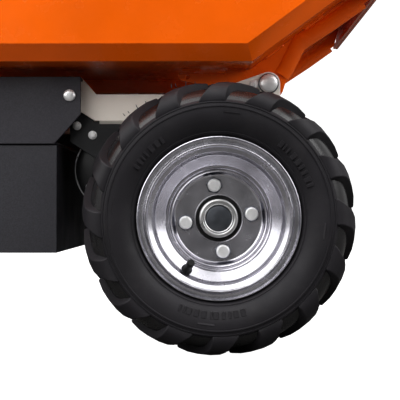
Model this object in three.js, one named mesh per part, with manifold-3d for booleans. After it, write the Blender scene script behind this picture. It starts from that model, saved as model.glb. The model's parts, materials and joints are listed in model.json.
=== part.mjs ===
// Battery power wheelbarrow: two driven front wheels, two rear swivel casters and a tipping steel
// tray. Millimetres. +X is forward, +Y is the machine's left, +Z is up. The origin is on the ground
// under the middle of the machine. All pieces are laid out from the drive axle, which stands
// AXLE_X ahead of the origin.
//
// A sided piece is drawn on the left (+Y) side, and its right-hand twin is the same piece in a
// group that is mirrored across the middle plane.

import * as THREE from 'three';
import { mergeVertices } from 'three/addons/utils/BufferGeometryUtils.js';
import Module from 'manifold-3d';

const wasm = await Module();
wasm.setup();

// ---------------------------------------------------------------- driving dimensions

const GAP = 0.3; // clearance between pieces that touch
const AXLE_X = 480.4; // drive axle ahead of the origin
const AXLE_Z = 165; // drive axle above the ground

// Drive wheels: 13 x 5.00-6 tyres
const WHEEL_Y = 280; // middle plane of each wheel
const WHEEL_SIDES = 28; // facets round the rim and the tyre
const TYRE_R = 165;
const TYRE_HALF = 63.5;
const RIM_R = 96;
const RIM_HALF = 52;
const DISC_OUT = 7; // outer face of the wheel disc, outward from the middle plane
const DISC_THICK = 4;
const HUB_HOLE_R = 27.5;
const BOLT_CIRCLE_R = 40;
const BOLT_COUNT = 4;
const BOLT_PHASE = 7.5; // degrees, first wheel bolt from the machine's forward direction
const STUD_R = 5.7;
const NUT_R = 8;
const CAP_R = 23.5;
const SHAFT_R = 16;
const AXLE_TUBE_R = 24;
const AXLE_TUBE_END = 262;

// Chassis
const RAIL_OUT = 210; // outer face of each rail
const RAIL_THICK = 4;
const RAIL_REAR = -690;
const RAIL_LOW_FRONT = 289;
const RAIL_LOW_REAR = 300;
const RAIL_TOP_FRONT = 323;
const RAIL_TOP_BOX = 345;
const RAIL_TOP_REAR = 335;
const RAIL_FLANGE = 60;
const RAIL_IN = RAIL_OUT - RAIL_THICK;
const MID_TOP = 321; // top of the middle cross member
const PIVOT_X = 64.4;
const PIVOT_Z = 336.6;
const EAR_R = 15;
const PIVOT_BOLT_R = 7;

// Battery box and covers
const BOX = { rear: -430, front: -203, half: 232, low: 121, high: 257, wall: 3 };
const COVER_OUT = 235;
const COVER_TOP = 343;

// Drive unit
const CASE_R = 70;
const MOTOR_X = -135;
const MOTOR_Z = 228;
const MOTOR_R = 55;
const PINION_CASE_R = 45;
const CASE_HALF = 70;

// Casters
const CASTER_X = -620;
const CASTER_Y = 205;
const CASTER_TRAIL = 45;
const CASTER_R = 105;
const CASTER_HALF = 27;
const CASTER_SIDES = 20;
const CASTER_CORE_R = 72; // joint of the roller's plastic core and its tyre
const CASTER_AXLE_R = 6;
const FORK_TOP = 240.7;
const LEG_IN = 34;
const LEG_OUT = 38;
const BEAM_HALF = 32;
const BEAM_LOW = 260;

// Tray
const TRAY_HALF = 300;
const TRAY_WALL = 3;
const FLOOR_Z = 356;
const FLOOR_FRONT = 41;
const FLOOR_REAR = -560;
const SLOPE = 0.737; // rise of the front slope per millimetre forward
const LIP_X = 208;
const LIP_DROP = 29;
const RIM_Z = 640;
const RIM_REAR = -600;
const RIM_FRONT = 140;
const RIM_FLANGE = 22;
const CHAMFER = 19;
const RIB_Y = 70;
const RIB_LOW = 338;
const RIB_HALF = 12;
const BRACKET_IN = 198;
const BRACKET_OUT = 203;
const STRIKER_X = -595;
const STRIKER_Z = 384;
const STRIKER_R = 5;

// Handle
const HANDLE_R = 15;
const HANDLE_WALL = 2.2;
const HANDLE_Y = RAIL_IN - GAP - HANDLE_R;
const HANDLE_LOW = { x: -470, z: 321 };
const HANDLE_BEND = { x: -668, z: 321 };
const HANDLE_RISE = THREE.MathUtils.degToRad(62);
const HANDLE_LEG = 610;
const GRIP_RISE = THREE.MathUtils.degToRad(12);
const GRIP_LEG = 212;
const BEND = 45; // length of straight tube that each bend takes up on either side
const GRIP_SIDES = 14;
const GRIP_BORE = (HANDLE_R + GAP) / Math.cos(Math.PI / GRIP_SIDES);
const CROSSBAR_R = 12;
const CROSSBAR_AT = 520; // along the leg, from its lower bend
const CONSOLE_TILT = THREE.MathUtils.degToRad(25);
// The console's own frame has its X along the panel and its Z off the panel's face.
const CONSOLE = { low: CROSSBAR_R + GAP, high: 54, halfX: 46, halfY: 96, wall: 3 };
const KEY_Y = -38;
const KEY_R = 9;
const STOP_Y = -72;
const STOP_STEM_R = 7;
const ROCKER_Y = 4;
const GAUGE_Y = 54;
const SWITCH_SIDES = 12;

// The latch that holds the tray down.
const LATCH_X = -632;
const LATCH_Z = 330;
const LATCH_PIN_R = 5;
const LATCH_BEND = { x: -700, z: 372 };
const LATCH_TIP = { x: -742, z: 440 };

// ---------------------------------------------------------------- finishes

const finish = (color, roughness, metalness) => () =>
  new THREE.MeshStandardMaterial({ color, roughness, metalness });

const orangePaint = finish(0xf26a08, 0.32, 0.1);
const creamPaint = finish(0xcfc6b8, 0.4, 0.05);
const greyCover = finish(0x3d3b43, 0.5, 0.1);
const blackPaint = finish(0x1c1c20, 0.45, 0.1);
const blackPlastic = finish(0x17171a, 0.6, 0);
const rubber = finish(0x2b2a2d, 0.8, 0);
const zinc = finish(0xa9a7a2, 0.35, 0.9);
const steel = finish(0x8c8c90, 0.35, 1);
const greyPlastic = finish(0x55565c, 0.5, 0);
const redPlastic = finish(0xb5140f, 0.4, 0);
const gaugeLens = finish(0x203028, 0.15, 0);

// ---------------------------------------------------------------- shape helpers

// A closed geometry as a solid that can be joined and cut. Corners that meet are merged, and the
// faces that a profile's points on the axis leave without area are dropped.
function solid(geometry) {
  const bare = geometry.clone();
  bare.deleteAttribute('normal');
  bare.deleteAttribute('uv');
  const merged = mergeVertices(bare, 1e-3);
  const source = merged.index.array;
  const kept = [];
  for (let i = 0; i < source.length; i += 3) {
    const [a, b, c] = [source[i], source[i + 1], source[i + 2]];
    if (a !== b && b !== c && c !== a) kept.push(a, b, c);
  }
  const mesh = new wasm.Mesh({
    numProp: 3,
    vertProperties: merged.attributes.position.array,
    triVerts: new Uint32Array(kept),
  });
  return new wasm.Manifold(mesh);
}

// The faces of a solid as a geometry.
function geometryOf(body) {
  const mesh = body.getMesh();
  const geometry = new THREE.BufferGeometry();
  geometry.setAttribute('position', new THREE.BufferAttribute(mesh.vertProperties, 3));
  geometry.setIndex(new THREE.BufferAttribute(mesh.triVerts, 1));
  geometry.computeVertexNormals();
  return geometry;
}

const join = (first, ...rest) =>
  geometryOf(rest.reduce((sum, next) => sum.add(solid(next)), solid(first)));

const cut = (first, ...rest) =>
  geometryOf(rest.reduce((left, next) => left.subtract(solid(next)), solid(first)));

function box(x0, x1, y0, y1, z0, z1) {
  const geometry = new THREE.BoxGeometry(x1 - x0, y1 - y0, z1 - z0);
  return geometry.translate((x0 + x1) / 2, (y0 + y1) / 2, (z0 + z1) / 2);
}

// An outline in the upright lengthwise plane, as a plate between two distances from the middle.
function plate(shape, y0, y1, curveSegments = 6) {
  const options = { depth: y1 - y0, bevelEnabled: false, curveSegments };
  const geometry = new THREE.ExtrudeGeometry(shape, options);
  return geometry.rotateX(Math.PI / 2).translate(0, y1, 0);
}

function outline(points) {
  return new THREE.Shape(points.map(([x, z]) => new THREE.Vector2(x, z)));
}

function addHole(shape, x, z, radius) {
  const hole = new THREE.Path();
  hole.absarc(x, z, radius, 0, Math.PI * 2, true);
  shape.holes.push(hole);
  return shape;
}

// The outline of a belt round two pulleys.
function beltOutline(x0, z0, r0, x1, z1, r1) {
  const along = Math.atan2(z1 - z0, x1 - x0);
  const spread = Math.acos((r0 - r1) / Math.hypot(x1 - x0, z1 - z0));
  const shape = new THREE.Shape();
  shape.absarc(x0, z0, r0, along + spread, along - spread + Math.PI * 2, false);
  shape.absarc(x1, z1, r1, along - spread, along + spread, false);
  return shape;
}

// A turned piece about the Y axis through (x, z). The profile's points are [radius, y]. A flat
// facet, not a corner, faces the ground.
function turned(profile, sides, x = 0, z = 0) {
  let area = 0;
  profile.forEach(([r0, y0], i) => {
    const [r1, y1] = profile[(i + 1) % profile.length];
    area += r0 * y1 - r1 * y0;
  });
  const points = area > 0 ? [...profile] : [...profile].reverse();
  const closesOnAxis = points[0][0] === 0 && points[points.length - 1][0] === 0;
  if (!closesOnAxis) points.push(points[0]);
  const ring = points.map(([r, y]) => new THREE.Vector2(r, y));
  const geometry = new THREE.LatheGeometry(ring, sides);
  return geometry.rotateY(Math.PI / sides).translate(x, 0, z);
}

const rod = (radius, y0, y1, x, z, sides = 16) =>
  turned([[0, y0], [radius, y0], [radius, y1], [0, y1]], sides, x, z);

const sleeve = (outer, inner, y0, y1, x, z, sides = 20) =>
  turned([[inner, y0], [outer, y0], [outer, y1], [inner, y1]], sides, x, z);

// A turned piece whose axis is upright, or lies along X. The profile's points are [radius, along].
const turnedUp = (profile, sides) => turned(profile, sides).rotateX(Math.PI / 2);
const turnedAlong = (profile, sides) => turned(profile, sides).rotateZ(-Math.PI / 2);

// A round bar or pipe along a path.
function pipe(path, outer, inner, steps, sides = 10) {
  const circle = (radius) => {
    const points = [];
    for (let i = 0; i < sides; i += 1) {
      const turn = (i / sides) * Math.PI * 2;
      points.push(new THREE.Vector2(radius * Math.cos(turn), radius * Math.sin(turn)));
    }
    return points;
  };
  const shape = new THREE.Shape(circle(outer));
  if (inner > 0) shape.holes.push(new THREE.Path(circle(inner).reverse()));
  return new THREE.ExtrudeGeometry(shape, { steps, extrudePath: path, bevelEnabled: false });
}

// A path of straight legs in the upright lengthwise plane, with rounded bends between them.
function bentPath(corners, y, bend) {
  const at = corners.map(([x, z]) => new THREE.Vector3(x, y, z));
  const path = new THREE.CurvePath();
  let from = at[0];
  for (let i = 1; i < at.length - 1; i += 1) {
    const back = at[i - 1].clone().sub(at[i]).setLength(bend).add(at[i]);
    const ahead = at[i + 1].clone().sub(at[i]).setLength(bend).add(at[i]);
    path.add(new THREE.LineCurve3(from, back));
    path.add(new THREE.QuadraticBezierCurve3(back, at[i], ahead));
    from = ahead;
  }
  path.add(new THREE.LineCurve3(from, at[at.length - 1]));
  return path;
}

function place(group, name, geometry, material) {
  const mesh = new THREE.Mesh(geometry, material());
  mesh.name = name;
  group.add(mesh);
  return mesh;
}

// ---------------------------------------------------------------- chassis

function railOutline() {
  const shape = new THREE.Shape();
  shape.moveTo(RAIL_REAR, RAIL_LOW_REAR);
  shape.lineTo(-175, RAIL_LOW_REAR);
  shape.lineTo(-158, RAIL_LOW_FRONT);
  shape.lineTo(48, RAIL_LOW_FRONT);
  shape.lineTo(PIVOT_X + EAR_R, 316);
  shape.absarc(PIVOT_X, PIVOT_Z, EAR_R, 0, THREE.MathUtils.degToRad(110), false);
  shape.lineTo(-20, RAIL_TOP_FRONT);
  shape.lineTo(-156, RAIL_TOP_FRONT);
  shape.lineTo(-175, RAIL_TOP_BOX);
  shape.lineTo(-440, RAIL_TOP_BOX);
  shape.lineTo(-470, RAIL_TOP_REAR);
  shape.lineTo(RAIL_REAR, RAIL_TOP_REAR);
  return addHole(shape, PIVOT_X, PIVOT_Z, PIVOT_BOLT_R + GAP);
}

function rail() {
  const web = plate(railOutline(), RAIL_IN, RAIL_OUT);
  const flangeIn = RAIL_OUT - RAIL_FLANGE;
  const flange = box(-156, 46, flangeIn, RAIL_IN + 1, RAIL_LOW_FRONT, RAIL_LOW_FRONT + 4);
  return join(web, flange);
}

function boxTube(x0, x1, z0, z1, half, wall) {
  const shape = outline([[x0, z0], [x1, z0], [x1, z1], [x0, z1]]);
  const inner = [
    [x0 + wall, z0 + wall],
    [x0 + wall, z1 - wall],
    [x1 - wall, z1 - wall],
    [x1 - wall, z0 + wall],
  ];
  shape.holes.push(new THREE.Path(inner.map(([x, z]) => new THREE.Vector2(x, z))));
  return plate(shape, -half, half);
}

function sideCover() {
  const skin = outline([
    [-173, COVER_TOP],
    [-440, COVER_TOP],
    [-440, BOX.high + 1],
    [-206, BOX.high + 1],
    [-173, 295],
  ]);
  const fold = box(-440, -173, RAIL_OUT + GAP, COVER_OUT - 2, COVER_TOP - 4, COVER_TOP);
  return join(plate(skin, COVER_OUT - 4, COVER_OUT), fold);
}

// The pin of the tray's hinge: a domed head outside the rail, a shank through rail and bracket,
// and a nut inside.
function pivotBolt() {
  const head = RAIL_OUT + GAP;
  const nut = BRACKET_IN - GAP;
  return turned(
    [
      [0, nut - 9],
      [10, nut - 9],
      [10, nut],
      [PIVOT_BOLT_R, nut],
      [PIVOT_BOLT_R, head],
      [11, head],
      [11, head + 5],
      [7, head + 8.5],
      [0, head + 9.5],
    ],
    12,
    PIVOT_X,
    PIVOT_Z,
  );
}

function driveBracket() {
  const reach = 42;
  const shape = new THREE.Shape();
  shape.moveTo(-190, 320);
  shape.lineTo(-190, 262);
  shape.lineTo(-100, 205);
  const start = THREE.MathUtils.degToRad(200);
  const end = THREE.MathUtils.degToRad(385);
  shape.absarc(0, AXLE_Z, reach, start, end, false);
  shape.lineTo(22, RAIL_LOW_FRONT - GAP);
  shape.lineTo(-160, RAIL_LOW_FRONT - GAP);
  shape.lineTo(-160, 320);
  addHole(shape, 0, AXLE_Z, AXLE_TUBE_R + 1);
  return plate(shape, RAIL_IN - GAP - 5, RAIL_IN - GAP);
}

function addChassisSide(group, side) {
  place(group, `chassis_rail_${side}`, rail(), creamPaint);
  place(group, `side_cover_${side}`, sideCover(), greyCover);
  place(group, `pivot_bolt_${side}`, pivotBolt(), zinc);
  place(group, `drive_bracket_${side}`, driveBracket(), blackPaint);
}

function addCrossMembers(group) {
  const half = RAIL_IN - GAP;
  const front = boxTube(-60, -20, RAIL_LOW_FRONT + 4 + GAP, 321, half, 3);
  const middle = boxTube(-330, -290, BOX.high + 3 + 2 * GAP, MID_TOP, half, 3);
  const rear = [CASTER_X - BEAM_HALF, CASTER_X + BEAM_HALF];
  const beam = boxTube(...rear, BEAM_LOW, RAIL_LOW_REAR - GAP, 255, 3);
  place(group, 'front_cross_member', front, creamPaint);
  place(group, 'mid_cross_member', middle, creamPaint);
  place(group, 'caster_beam', beam, creamPaint);
  const pad = box(-330, -290, -50, 50, MID_TOP + GAP, FLOOR_Z - 1);
  place(group, 'tray_rest_pad', pad, rubber);
}

// ---------------------------------------------------------------- battery box

function addBatteryBox(group) {
  const { rear, front, half, low, high, wall } = BOX;
  const outer = box(rear, front, -half, half, low, high);
  const inner = box(rear + wall, front - wall, wall - half, half - wall, low + wall, high + 1);
  place(group, 'battery_box', cut(outer, inner), blackPaint);

  const lid = box(rear - 1, front + 1, -229, 229, high + GAP, high + GAP + 3);
  place(group, 'battery_box_lid', lid, blackPaint);

  const floor = low + wall + GAP;
  for (const [side, y] of [['right', -112], ['left', 14]]) {
    const block = box(-395, -244, y, y + 98, floor, floor + 95);
    const posts = [-375, -264].map((x) => box(x - 6, x + 6, y + 43, y + 55, floor + 94, floor + 99));
    place(group, `battery_${side}`, join(block, ...posts), greyPlastic);
  }
  const controller = box(-400, -250, 135, 210, floor, floor + 45);
  const fins = [];
  for (let y = 140; y < 208; y += 12) {
    fins.push(box(-396, -254, y, y + 4, floor + 44, floor + 60));
  }
  place(group, 'motor_controller', join(controller, ...fins), steel);

  const socket = turnedAlong([[0, 0], [16, 0], [16, 4], [13, 9], [0, 9]], 16);
  socket.rotateZ(Math.PI).translate(rear - GAP, -150, 205);
  place(group, 'charging_socket', socket, blackPlastic);
}

// ---------------------------------------------------------------- drive unit

function caseHalf(withMotor) {
  const outer = beltOutline(0, AXLE_Z, CASE_R, MOTOR_X, MOTOR_Z, PINION_CASE_R);
  const inner = beltOutline(0, AXLE_Z, CASE_R - 6, MOTOR_X, MOTOR_Z, PINION_CASE_R - 6);
  const shell = plate(outer, GAP / 2, CASE_HALF, 5);
  const hollow = plate(inner, -1, CASE_HALF - 6, 5);
  const bore = rod(SHAFT_R + 2 * GAP, CASE_HALF - 7, CASE_HALF + 1, 0, AXLE_Z, 14);
  const flange = beltOutline(0, AXLE_Z, CASE_R + 9, MOTOR_X, MOTOR_Z, PINION_CASE_R + 9);
  const rim = plate(flange, GAP / 2, 9, 5);
  const body = solid(rim).add(solid(shell)).subtract(solid(hollow)).subtract(solid(bore));
  if (!withMotor) return geometryOf(body);
  const seat = rod(12, CASE_HALF - 7, CASE_HALF + 1, MOTOR_X, MOTOR_Z, 16);
  return geometryOf(body.subtract(solid(seat)));
}

function motor() {
  const start = CASE_HALF + GAP;
  return turned(
    [
      [0, start - 20],
      [8, start - 20],
      [8, start],
      [50, start],
      [50, start + 6],
      [MOTOR_R, start + 8],
      [MOTOR_R, start + 92],
      [48, start + 98],
      [22, start + 98],
      [20, start + 106],
      [0, start + 106],
    ],
    18,
    MOTOR_X,
    MOTOR_Z,
  );
}

function addDriveUnitSide(group, side) {
  const hasMotor = side === 'right';
  place(group, `gearbox_case_${side}`, caseHalf(hasMotor), blackPaint);
  const start = CASE_HALF + GAP;
  const tube = sleeve(AXLE_TUBE_R, SHAFT_R + GAP, start, AXLE_TUBE_END, 0, AXLE_Z);
  place(group, `axle_tube_${side}`, tube, blackPaint);
  if (hasMotor) place(group, 'drive_motor', motor(), blackPaint);
}

// The ring gear and its cage, which share the drive between the two half shafts.
function differential() {
  const profile = [
    [0, -46],
    [22, -46],
    [24, -30],
    [34, -28],
    [34, -4],
    [56, -4],
    [56, 14],
    [34, 14],
    [34, 30],
    [22, 32],
    [22, 46],
    [0, 46],
  ];
  return turned(profile, 16, 0, AXLE_Z);
}

// ---------------------------------------------------------------- drive wheels

function hub() {
  const face = WHEEL_Y + DISC_OUT - DISC_THICK - GAP;
  const body = turned(
    [
      [0, 53],
      [SHAFT_R - GAP, 53],
      [SHAFT_R - GAP, AXLE_TUBE_END + 2],
      [30, AXLE_TUBE_END + 2],
      [54, face - 9],
      [54, face],
      [HUB_HOLE_R - 2.5, face],
      [HUB_HOLE_R - 2.5, face + DISC_THICK],
      [0, face + DISC_THICK],
    ],
    16,
    0,
    AXLE_Z,
  );
  const studs = boltPlaces().flatMap(([x, z]) => {
    const seat = WHEEL_Y + DISC_OUT + GAP;
    return [rod(STUD_R, face - 4, seat + 11, x, z, 6), rod(NUT_R, seat, seat + 9, x, z, 8)];
  });
  return join(body, ...studs);
}

function boltPlaces() {
  return Array.from({ length: BOLT_COUNT }, (_, i) => {
    const turn = THREE.MathUtils.degToRad(BOLT_PHASE + (i * 360) / BOLT_COUNT);
    return [BOLT_CIRCLE_R * Math.cos(turn), AXLE_Z + BOLT_CIRCLE_R * Math.sin(turn)];
  });
}

// A pressed steel rim: lips, bead seats and a drop centre, with its disc. Radii outward, offsets
// from the middle plane, outward positive.
function rim() {
  const seatR = 80;
  const wellR = 66;
  const skin = 3;
  const tyreSide = [
    [RIM_R, RIM_HALF],
    [RIM_R, RIM_HALF - 3],
    [seatR, 45],
    [seatR, 26],
    [wellR, 13],
    [seatR, -1],
    [seatR, -45],
    [RIM_R, 3 - RIM_HALF],
    [RIM_R, -RIM_HALF],
  ];
  const openSide = [
    [seatR - skin, -46],
    [seatR - skin, -2],
    [wellR - skin, DISC_OUT - DISC_THICK],
    [HUB_HOLE_R, DISC_OUT - DISC_THICK],
    [HUB_HOLE_R, DISC_OUT],
    [56, DISC_OUT],
    [wellR - skin, 12],
    [seatR - skin, 26],
    [seatR - skin, 46],
  ];
  const profile = [...tyreSide, ...openSide].map(([r, out]) => [r, WHEEL_Y + out]);
  const pressed = turned(profile, WHEEL_SIDES, 0, AXLE_Z);
  const low = WHEEL_Y + DISC_OUT - DISC_THICK - 1;
  const holes = boltPlaces().map(([x, z]) => rod(STUD_R + GAP, low, low + 8, x, z, 6));
  return cut(pressed, ...holes);
}

// The tyre is a hollow casing that is open towards the rim.
function tyre() {
  const crown = TYRE_R / Math.cos(Math.PI / WHEEL_SIDES);
  const outside = [
    [81, 44],
    [97, 46.5],
    [120, TYRE_HALF],
    [crown, 46],
  ];
  const inside = [
    [150, 36],
    [112, 51],
    [81, 34],
  ];
  const mirror = (points) => points.map(([r, out]) => [r, -out]).reverse();
  const section = [...outside, ...mirror(outside), ...mirror(inside), ...inside];
  const profile = section.map(([r, out]) => [r, WHEEL_Y + out]);
  return turned(profile, WHEEL_SIDES, 0, AXLE_Z);
}

function hubCap() {
  const base = WHEEL_Y + DISC_OUT;
  return turned(
    [
      [0, base],
      [CAP_R, base],
      [CAP_R, base + 9],
      [CAP_R - 2, base + 11],
      [18, base + 11],
      [15, base + 8],
      [0, base + 8],
    ],
    20,
    0,
    AXLE_Z,
  );
}

function addWheel(group, side) {
  place(group, `hub_${side}`, hub(), steel);
  place(group, `rim_${side}`, rim(), zinc);
  place(group, `tyre_${side}`, tyre(), rubber);
  place(group, `hub_cap_${side}`, hubCap(), zinc);
}

// ---------------------------------------------------------------- casters

function casterPlate() {
  const low = BEAM_LOW - GAP - 5;
  const flange = box(-45, 45, -38, 38, low, low + 5);
  const race = FORK_TOP + GAP;
  const profile = [[0, race], [30, race], [30, race + 7], [24, race + 10], [24, low + 1], [0, low + 1]];
  return join(flange, turnedUp(profile, 16));
}

function casterFork() {
  const crown = box(-38, 30, -LEG_OUT, LEG_OUT, FORK_TOP - 6, FORK_TOP);
  const shape = new THREE.Shape();
  shape.moveTo(30, FORK_TOP);
  shape.lineTo(-38, FORK_TOP);
  shape.lineTo(-CASTER_TRAIL - 14, CASTER_R);
  shape.absarc(-CASTER_TRAIL, CASTER_R, 14, Math.PI, Math.PI * 2, false);
  shape.lineTo(-10, 190);
  addHole(shape, -CASTER_TRAIL, CASTER_R, CASTER_AXLE_R + GAP);
  const leg = (inner) => plate(shape, inner, inner + LEG_OUT - LEG_IN, 5);
  return join(crown, leg(LEG_IN), leg(-LEG_OUT));
}

function casterAxle() {
  const reach = LEG_OUT + GAP;
  return turned(
    [
      [0, -reach - 6],
      [9, -reach - 6],
      [9, -reach],
      [CASTER_AXLE_R, -reach],
      [CASTER_AXLE_R, reach],
      [9, reach],
      [9, reach + 6],
      [0, reach + 6],
    ],
    14,
    -CASTER_TRAIL,
    CASTER_R,
  );
}

function casterWheel() {
  const half = LEG_IN - 2 * GAP;
  const bore = CASTER_AXLE_R + GAP;
  const section = [
    [bore, half],
    [18, half],
    [20, 14],
    [CASTER_CORE_R, 22],
    [CASTER_CORE_R, -22],
    [20, -14],
    [18, -half],
    [bore, -half],
  ];
  return turned(section, CASTER_SIDES, -CASTER_TRAIL, CASTER_R);
}

function casterTyre() {
  const crown = CASTER_R / Math.cos(Math.PI / CASTER_SIDES);
  const section = [
    [CASTER_CORE_R + GAP, CASTER_HALF],
    [95, CASTER_HALF],
    [crown, 15],
    [crown, -15],
    [95, -CASTER_HALF],
    [CASTER_CORE_R + GAP, -CASTER_HALF],
  ];
  return turned(section, CASTER_SIDES, -CASTER_TRAIL, CASTER_R);
}

function addCaster(group, side) {
  const caster = new THREE.Group();
  caster.position.set(CASTER_X, CASTER_Y, 0);
  group.add(caster);
  place(caster, `caster_plate_${side}`, casterPlate(), zinc);
  place(caster, `caster_fork_${side}`, casterFork(), zinc);
  place(caster, `caster_axle_${side}`, casterAxle(), zinc);
  place(caster, `caster_wheel_${side}`, casterWheel(), greyPlastic);
  place(caster, `caster_tyre_${side}`, casterTyre(), rubber);
}

// ---------------------------------------------------------------- tray

const slopeZ = (x) => FLOOR_Z + SLOPE * (x - FLOOR_FRONT);
const SLOPE_ANGLE = Math.atan(SLOPE);
const REAR_LEAN = (RIM_REAR - FLOOR_REAR) / (RIM_Z - FLOOR_Z);
const rearX = (z) => FLOOR_REAR + REAR_LEAN * (z - FLOOR_Z);

// The space below a lower corner's chamfer, as a bar along X whose chamfer face starts on the
// floor plane, z = 0.
function chamferBar(sign, half, chamfer) {
  const spare = 30;
  const section = new THREE.Shape([
    new THREE.Vector2(sign * (half + spare), -spare),
    new THREE.Vector2(sign * (half + spare), chamfer + spare),
    new THREE.Vector2(sign * (half - chamfer - spare), -spare),
  ]);
  const bar = new THREE.ExtrudeGeometry(section, { depth: 900, bevelEnabled: false });
  return bar.rotateX(Math.PI / 2).rotateZ(Math.PI / 2);
}

// A block with chamfered lower corners, drawn from its side outline, with its floor at a height
// and its floor's front end where the front slope begins.
function chamferedBlock(side, half, chamfer, floor, bend) {
  let block = solid(plate(outline(side), -half, half));
  for (const sign of [-1, 1]) {
    const flat = chamferBar(sign, half, chamfer).translate(-700, 0, floor);
    const sloped = chamferBar(sign, half, chamfer).translate(-300, 0, 0);
    sloped.rotateY(-SLOPE_ANGLE).translate(bend, 0, floor);
    block = block.subtract(solid(flat)).subtract(solid(sloped));
  }
  return block;
}

// The folded sheet pan: the outer block less the same block moved in by the wall, which runs on
// past the rim and the lip and so opens both.
function trayShell() {
  const outside = [
    [FLOOR_REAR, FLOOR_Z],
    [FLOOR_FRONT, FLOOR_Z],
    [LIP_X, slopeZ(LIP_X)],
    [RIM_FRONT, RIM_Z],
    [RIM_REAR, RIM_Z],
  ];
  const floor = FLOOR_Z + TRAY_WALL;
  const bend = FLOOR_FRONT - TRAY_WALL * Math.tan(SLOPE_ANGLE / 2);
  const far = LIP_X + 90;
  const top = RIM_Z + 60;
  const inside = [
    [rearX(floor) + TRAY_WALL, floor],
    [bend, floor],
    [far, floor + SLOPE * (far - bend)],
    [far, top],
    [rearX(top) + TRAY_WALL, top],
  ];
  const inHalf = TRAY_HALF - TRAY_WALL;
  const inChamfer = CHAMFER - TRAY_WALL * (2 - Math.SQRT2);
  const outer = chamferedBlock(outside, TRAY_HALF, CHAMFER, FLOOR_Z, FLOOR_FRONT);
  return outer.subtract(chamferedBlock(inside, inHalf, inChamfer, floor, bend));
}

// The rim's flange, turned outward and then down, along both sides and the rear.
function rimFlange() {
  const reach = TRAY_HALF + RIM_FLANGE;
  const low = RIM_Z - TRAY_WALL;
  const bars = [];
  for (const sign of [-1, 1]) {
    const [y0, y1] = [sign * (TRAY_HALF - 1), sign * reach].sort((a, b) => a - b);
    const [e0, e1] = [sign * (reach - TRAY_WALL), sign * reach].sort((a, b) => a - b);
    bars.push(box(RIM_REAR - RIM_FLANGE, RIM_FRONT, y0, y1, low, RIM_Z));
    bars.push(box(RIM_REAR - RIM_FLANGE, RIM_FRONT, e0, e1, low - 12, RIM_Z));
  }
  const rear = RIM_REAR - RIM_FLANGE;
  bars.push(box(rear, RIM_REAR + 2, -reach, reach, low, RIM_Z));
  bars.push(box(rear, rear + TRAY_WALL, -reach, reach, low - 12, RIM_Z));
  return bars;
}

// The welded loop behind the rear wall that the latch hooks over.
function striker() {
  const weld = FLOOR_REAR + 2;
  const lug = (y) => box(STRIKER_X - 8, weld, y, y + 4, STRIKER_Z - 10, STRIKER_Z + 10);
  return [...[-16, 12].map(lug), rod(STRIKER_R, -14, 14, STRIKER_X, STRIKER_Z, 12)];
}

function trayPan() {
  const lipZ = slopeZ(LIP_X);
  const lip = box(LIP_X - TRAY_WALL, LIP_X, -281, 281, lipZ - LIP_DROP, lipZ + 2);
  const rib = (y) => box(-500, 20, y - RIB_HALF, y + RIB_HALF, RIB_LOW, FLOOR_Z + 1);
  const ribs = [-RIB_Y, RIB_Y].map(rib);
  const extras = [lip, ...ribs, ...rimFlange(), ...striker()];
  return geometryOf(extras.reduce((sum, next) => sum.add(solid(next)), trayShell()));
}

// A plate under the floor and the front slope, which holds the tray on its pivot.
function hingeBracket() {
  const top = FLOOR_Z - GAP;
  const lift = GAP / Math.cos(SLOPE_ANGLE);
  const alongSlope = (x, drop) => [x, slopeZ(x) - drop];
  const shape = new THREE.Shape();
  shape.moveTo(-51.6, top);
  shape.absarc(-43, 349, 8.6, Math.PI, Math.PI * 1.5, false);
  shape.lineTo(30, 326);
  shape.absarc(PIVOT_X, PIVOT_Z, 21, Math.PI * 1.25, Math.PI * 1.85, false);
  shape.lineTo(91, 353);
  shape.lineTo(106, 383);
  shape.lineTo(...alongSlope(150, 24));
  shape.lineTo(...alongSlope(193, 24));
  shape.lineTo(...alongSlope(200, lift));
  shape.lineTo(...alongSlope(FLOOR_FRONT, lift));
  addHole(shape, PIVOT_X, PIVOT_Z, PIVOT_BOLT_R + GAP);
  addHole(shape, -39, 346, 3);
  const slot = box(-25, 9, BRACKET_IN - 1, BRACKET_OUT + 1, 350, 354);
  return cut(plate(shape, BRACKET_IN, BRACKET_OUT), slot);
}

// ---------------------------------------------------------------- handle

const LEG_DIR = { x: -Math.cos(HANDLE_RISE), z: Math.sin(HANDLE_RISE) };
const GRIP_DIR = { x: -Math.cos(GRIP_RISE), z: Math.sin(GRIP_RISE) };
const onLeg = (along) => [HANDLE_BEND.x + LEG_DIR.x * along, HANDLE_BEND.z + LEG_DIR.z * along];

function handleCorners() {
  const [topX, topZ] = onLeg(HANDLE_LEG);
  return [
    [HANDLE_LOW.x, HANDLE_LOW.z],
    [HANDLE_BEND.x, HANDLE_BEND.z],
    [topX, topZ],
    [topX + GRIP_DIR.x * GRIP_LEG, topZ + GRIP_DIR.z * GRIP_LEG],
  ];
}

function handleTube() {
  const path = bentPath(handleCorners(), HANDLE_Y, BEND);
  return pipe(path, HANDLE_R, HANDLE_R - HANDLE_WALL, 17, 8);
}

// A frame at the rear end of the handle tube, whose +X runs forward along the tube.
function gripFrame() {
  const [x, z] = handleCorners()[3];
  const frame = new THREE.Group();
  frame.position.set(x, HANDLE_Y, z);
  frame.rotation.y = GRIP_RISE;
  return frame;
}

function grip() {
  const profile = [
    [0, -4],
    [16, -4],
    [19, -1],
    [18.5, 112],
    [23, 114],
    [23, 118],
    [GRIP_BORE, 118],
    [GRIP_BORE, -GAP],
    [0, -GAP],
  ];
  return turnedAlong(profile, GRIP_SIDES);
}

function throttleHousing() {
  const ring = [[GRIP_BORE, 133], [24, 133], [26, 137], [26, 156], [23, 160], [GRIP_BORE, 160]];
  const pod = box(136, 157, -16, 16, 18, 34);
  return join(turnedAlong(ring, GRIP_SIDES), pod);
}

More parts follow.
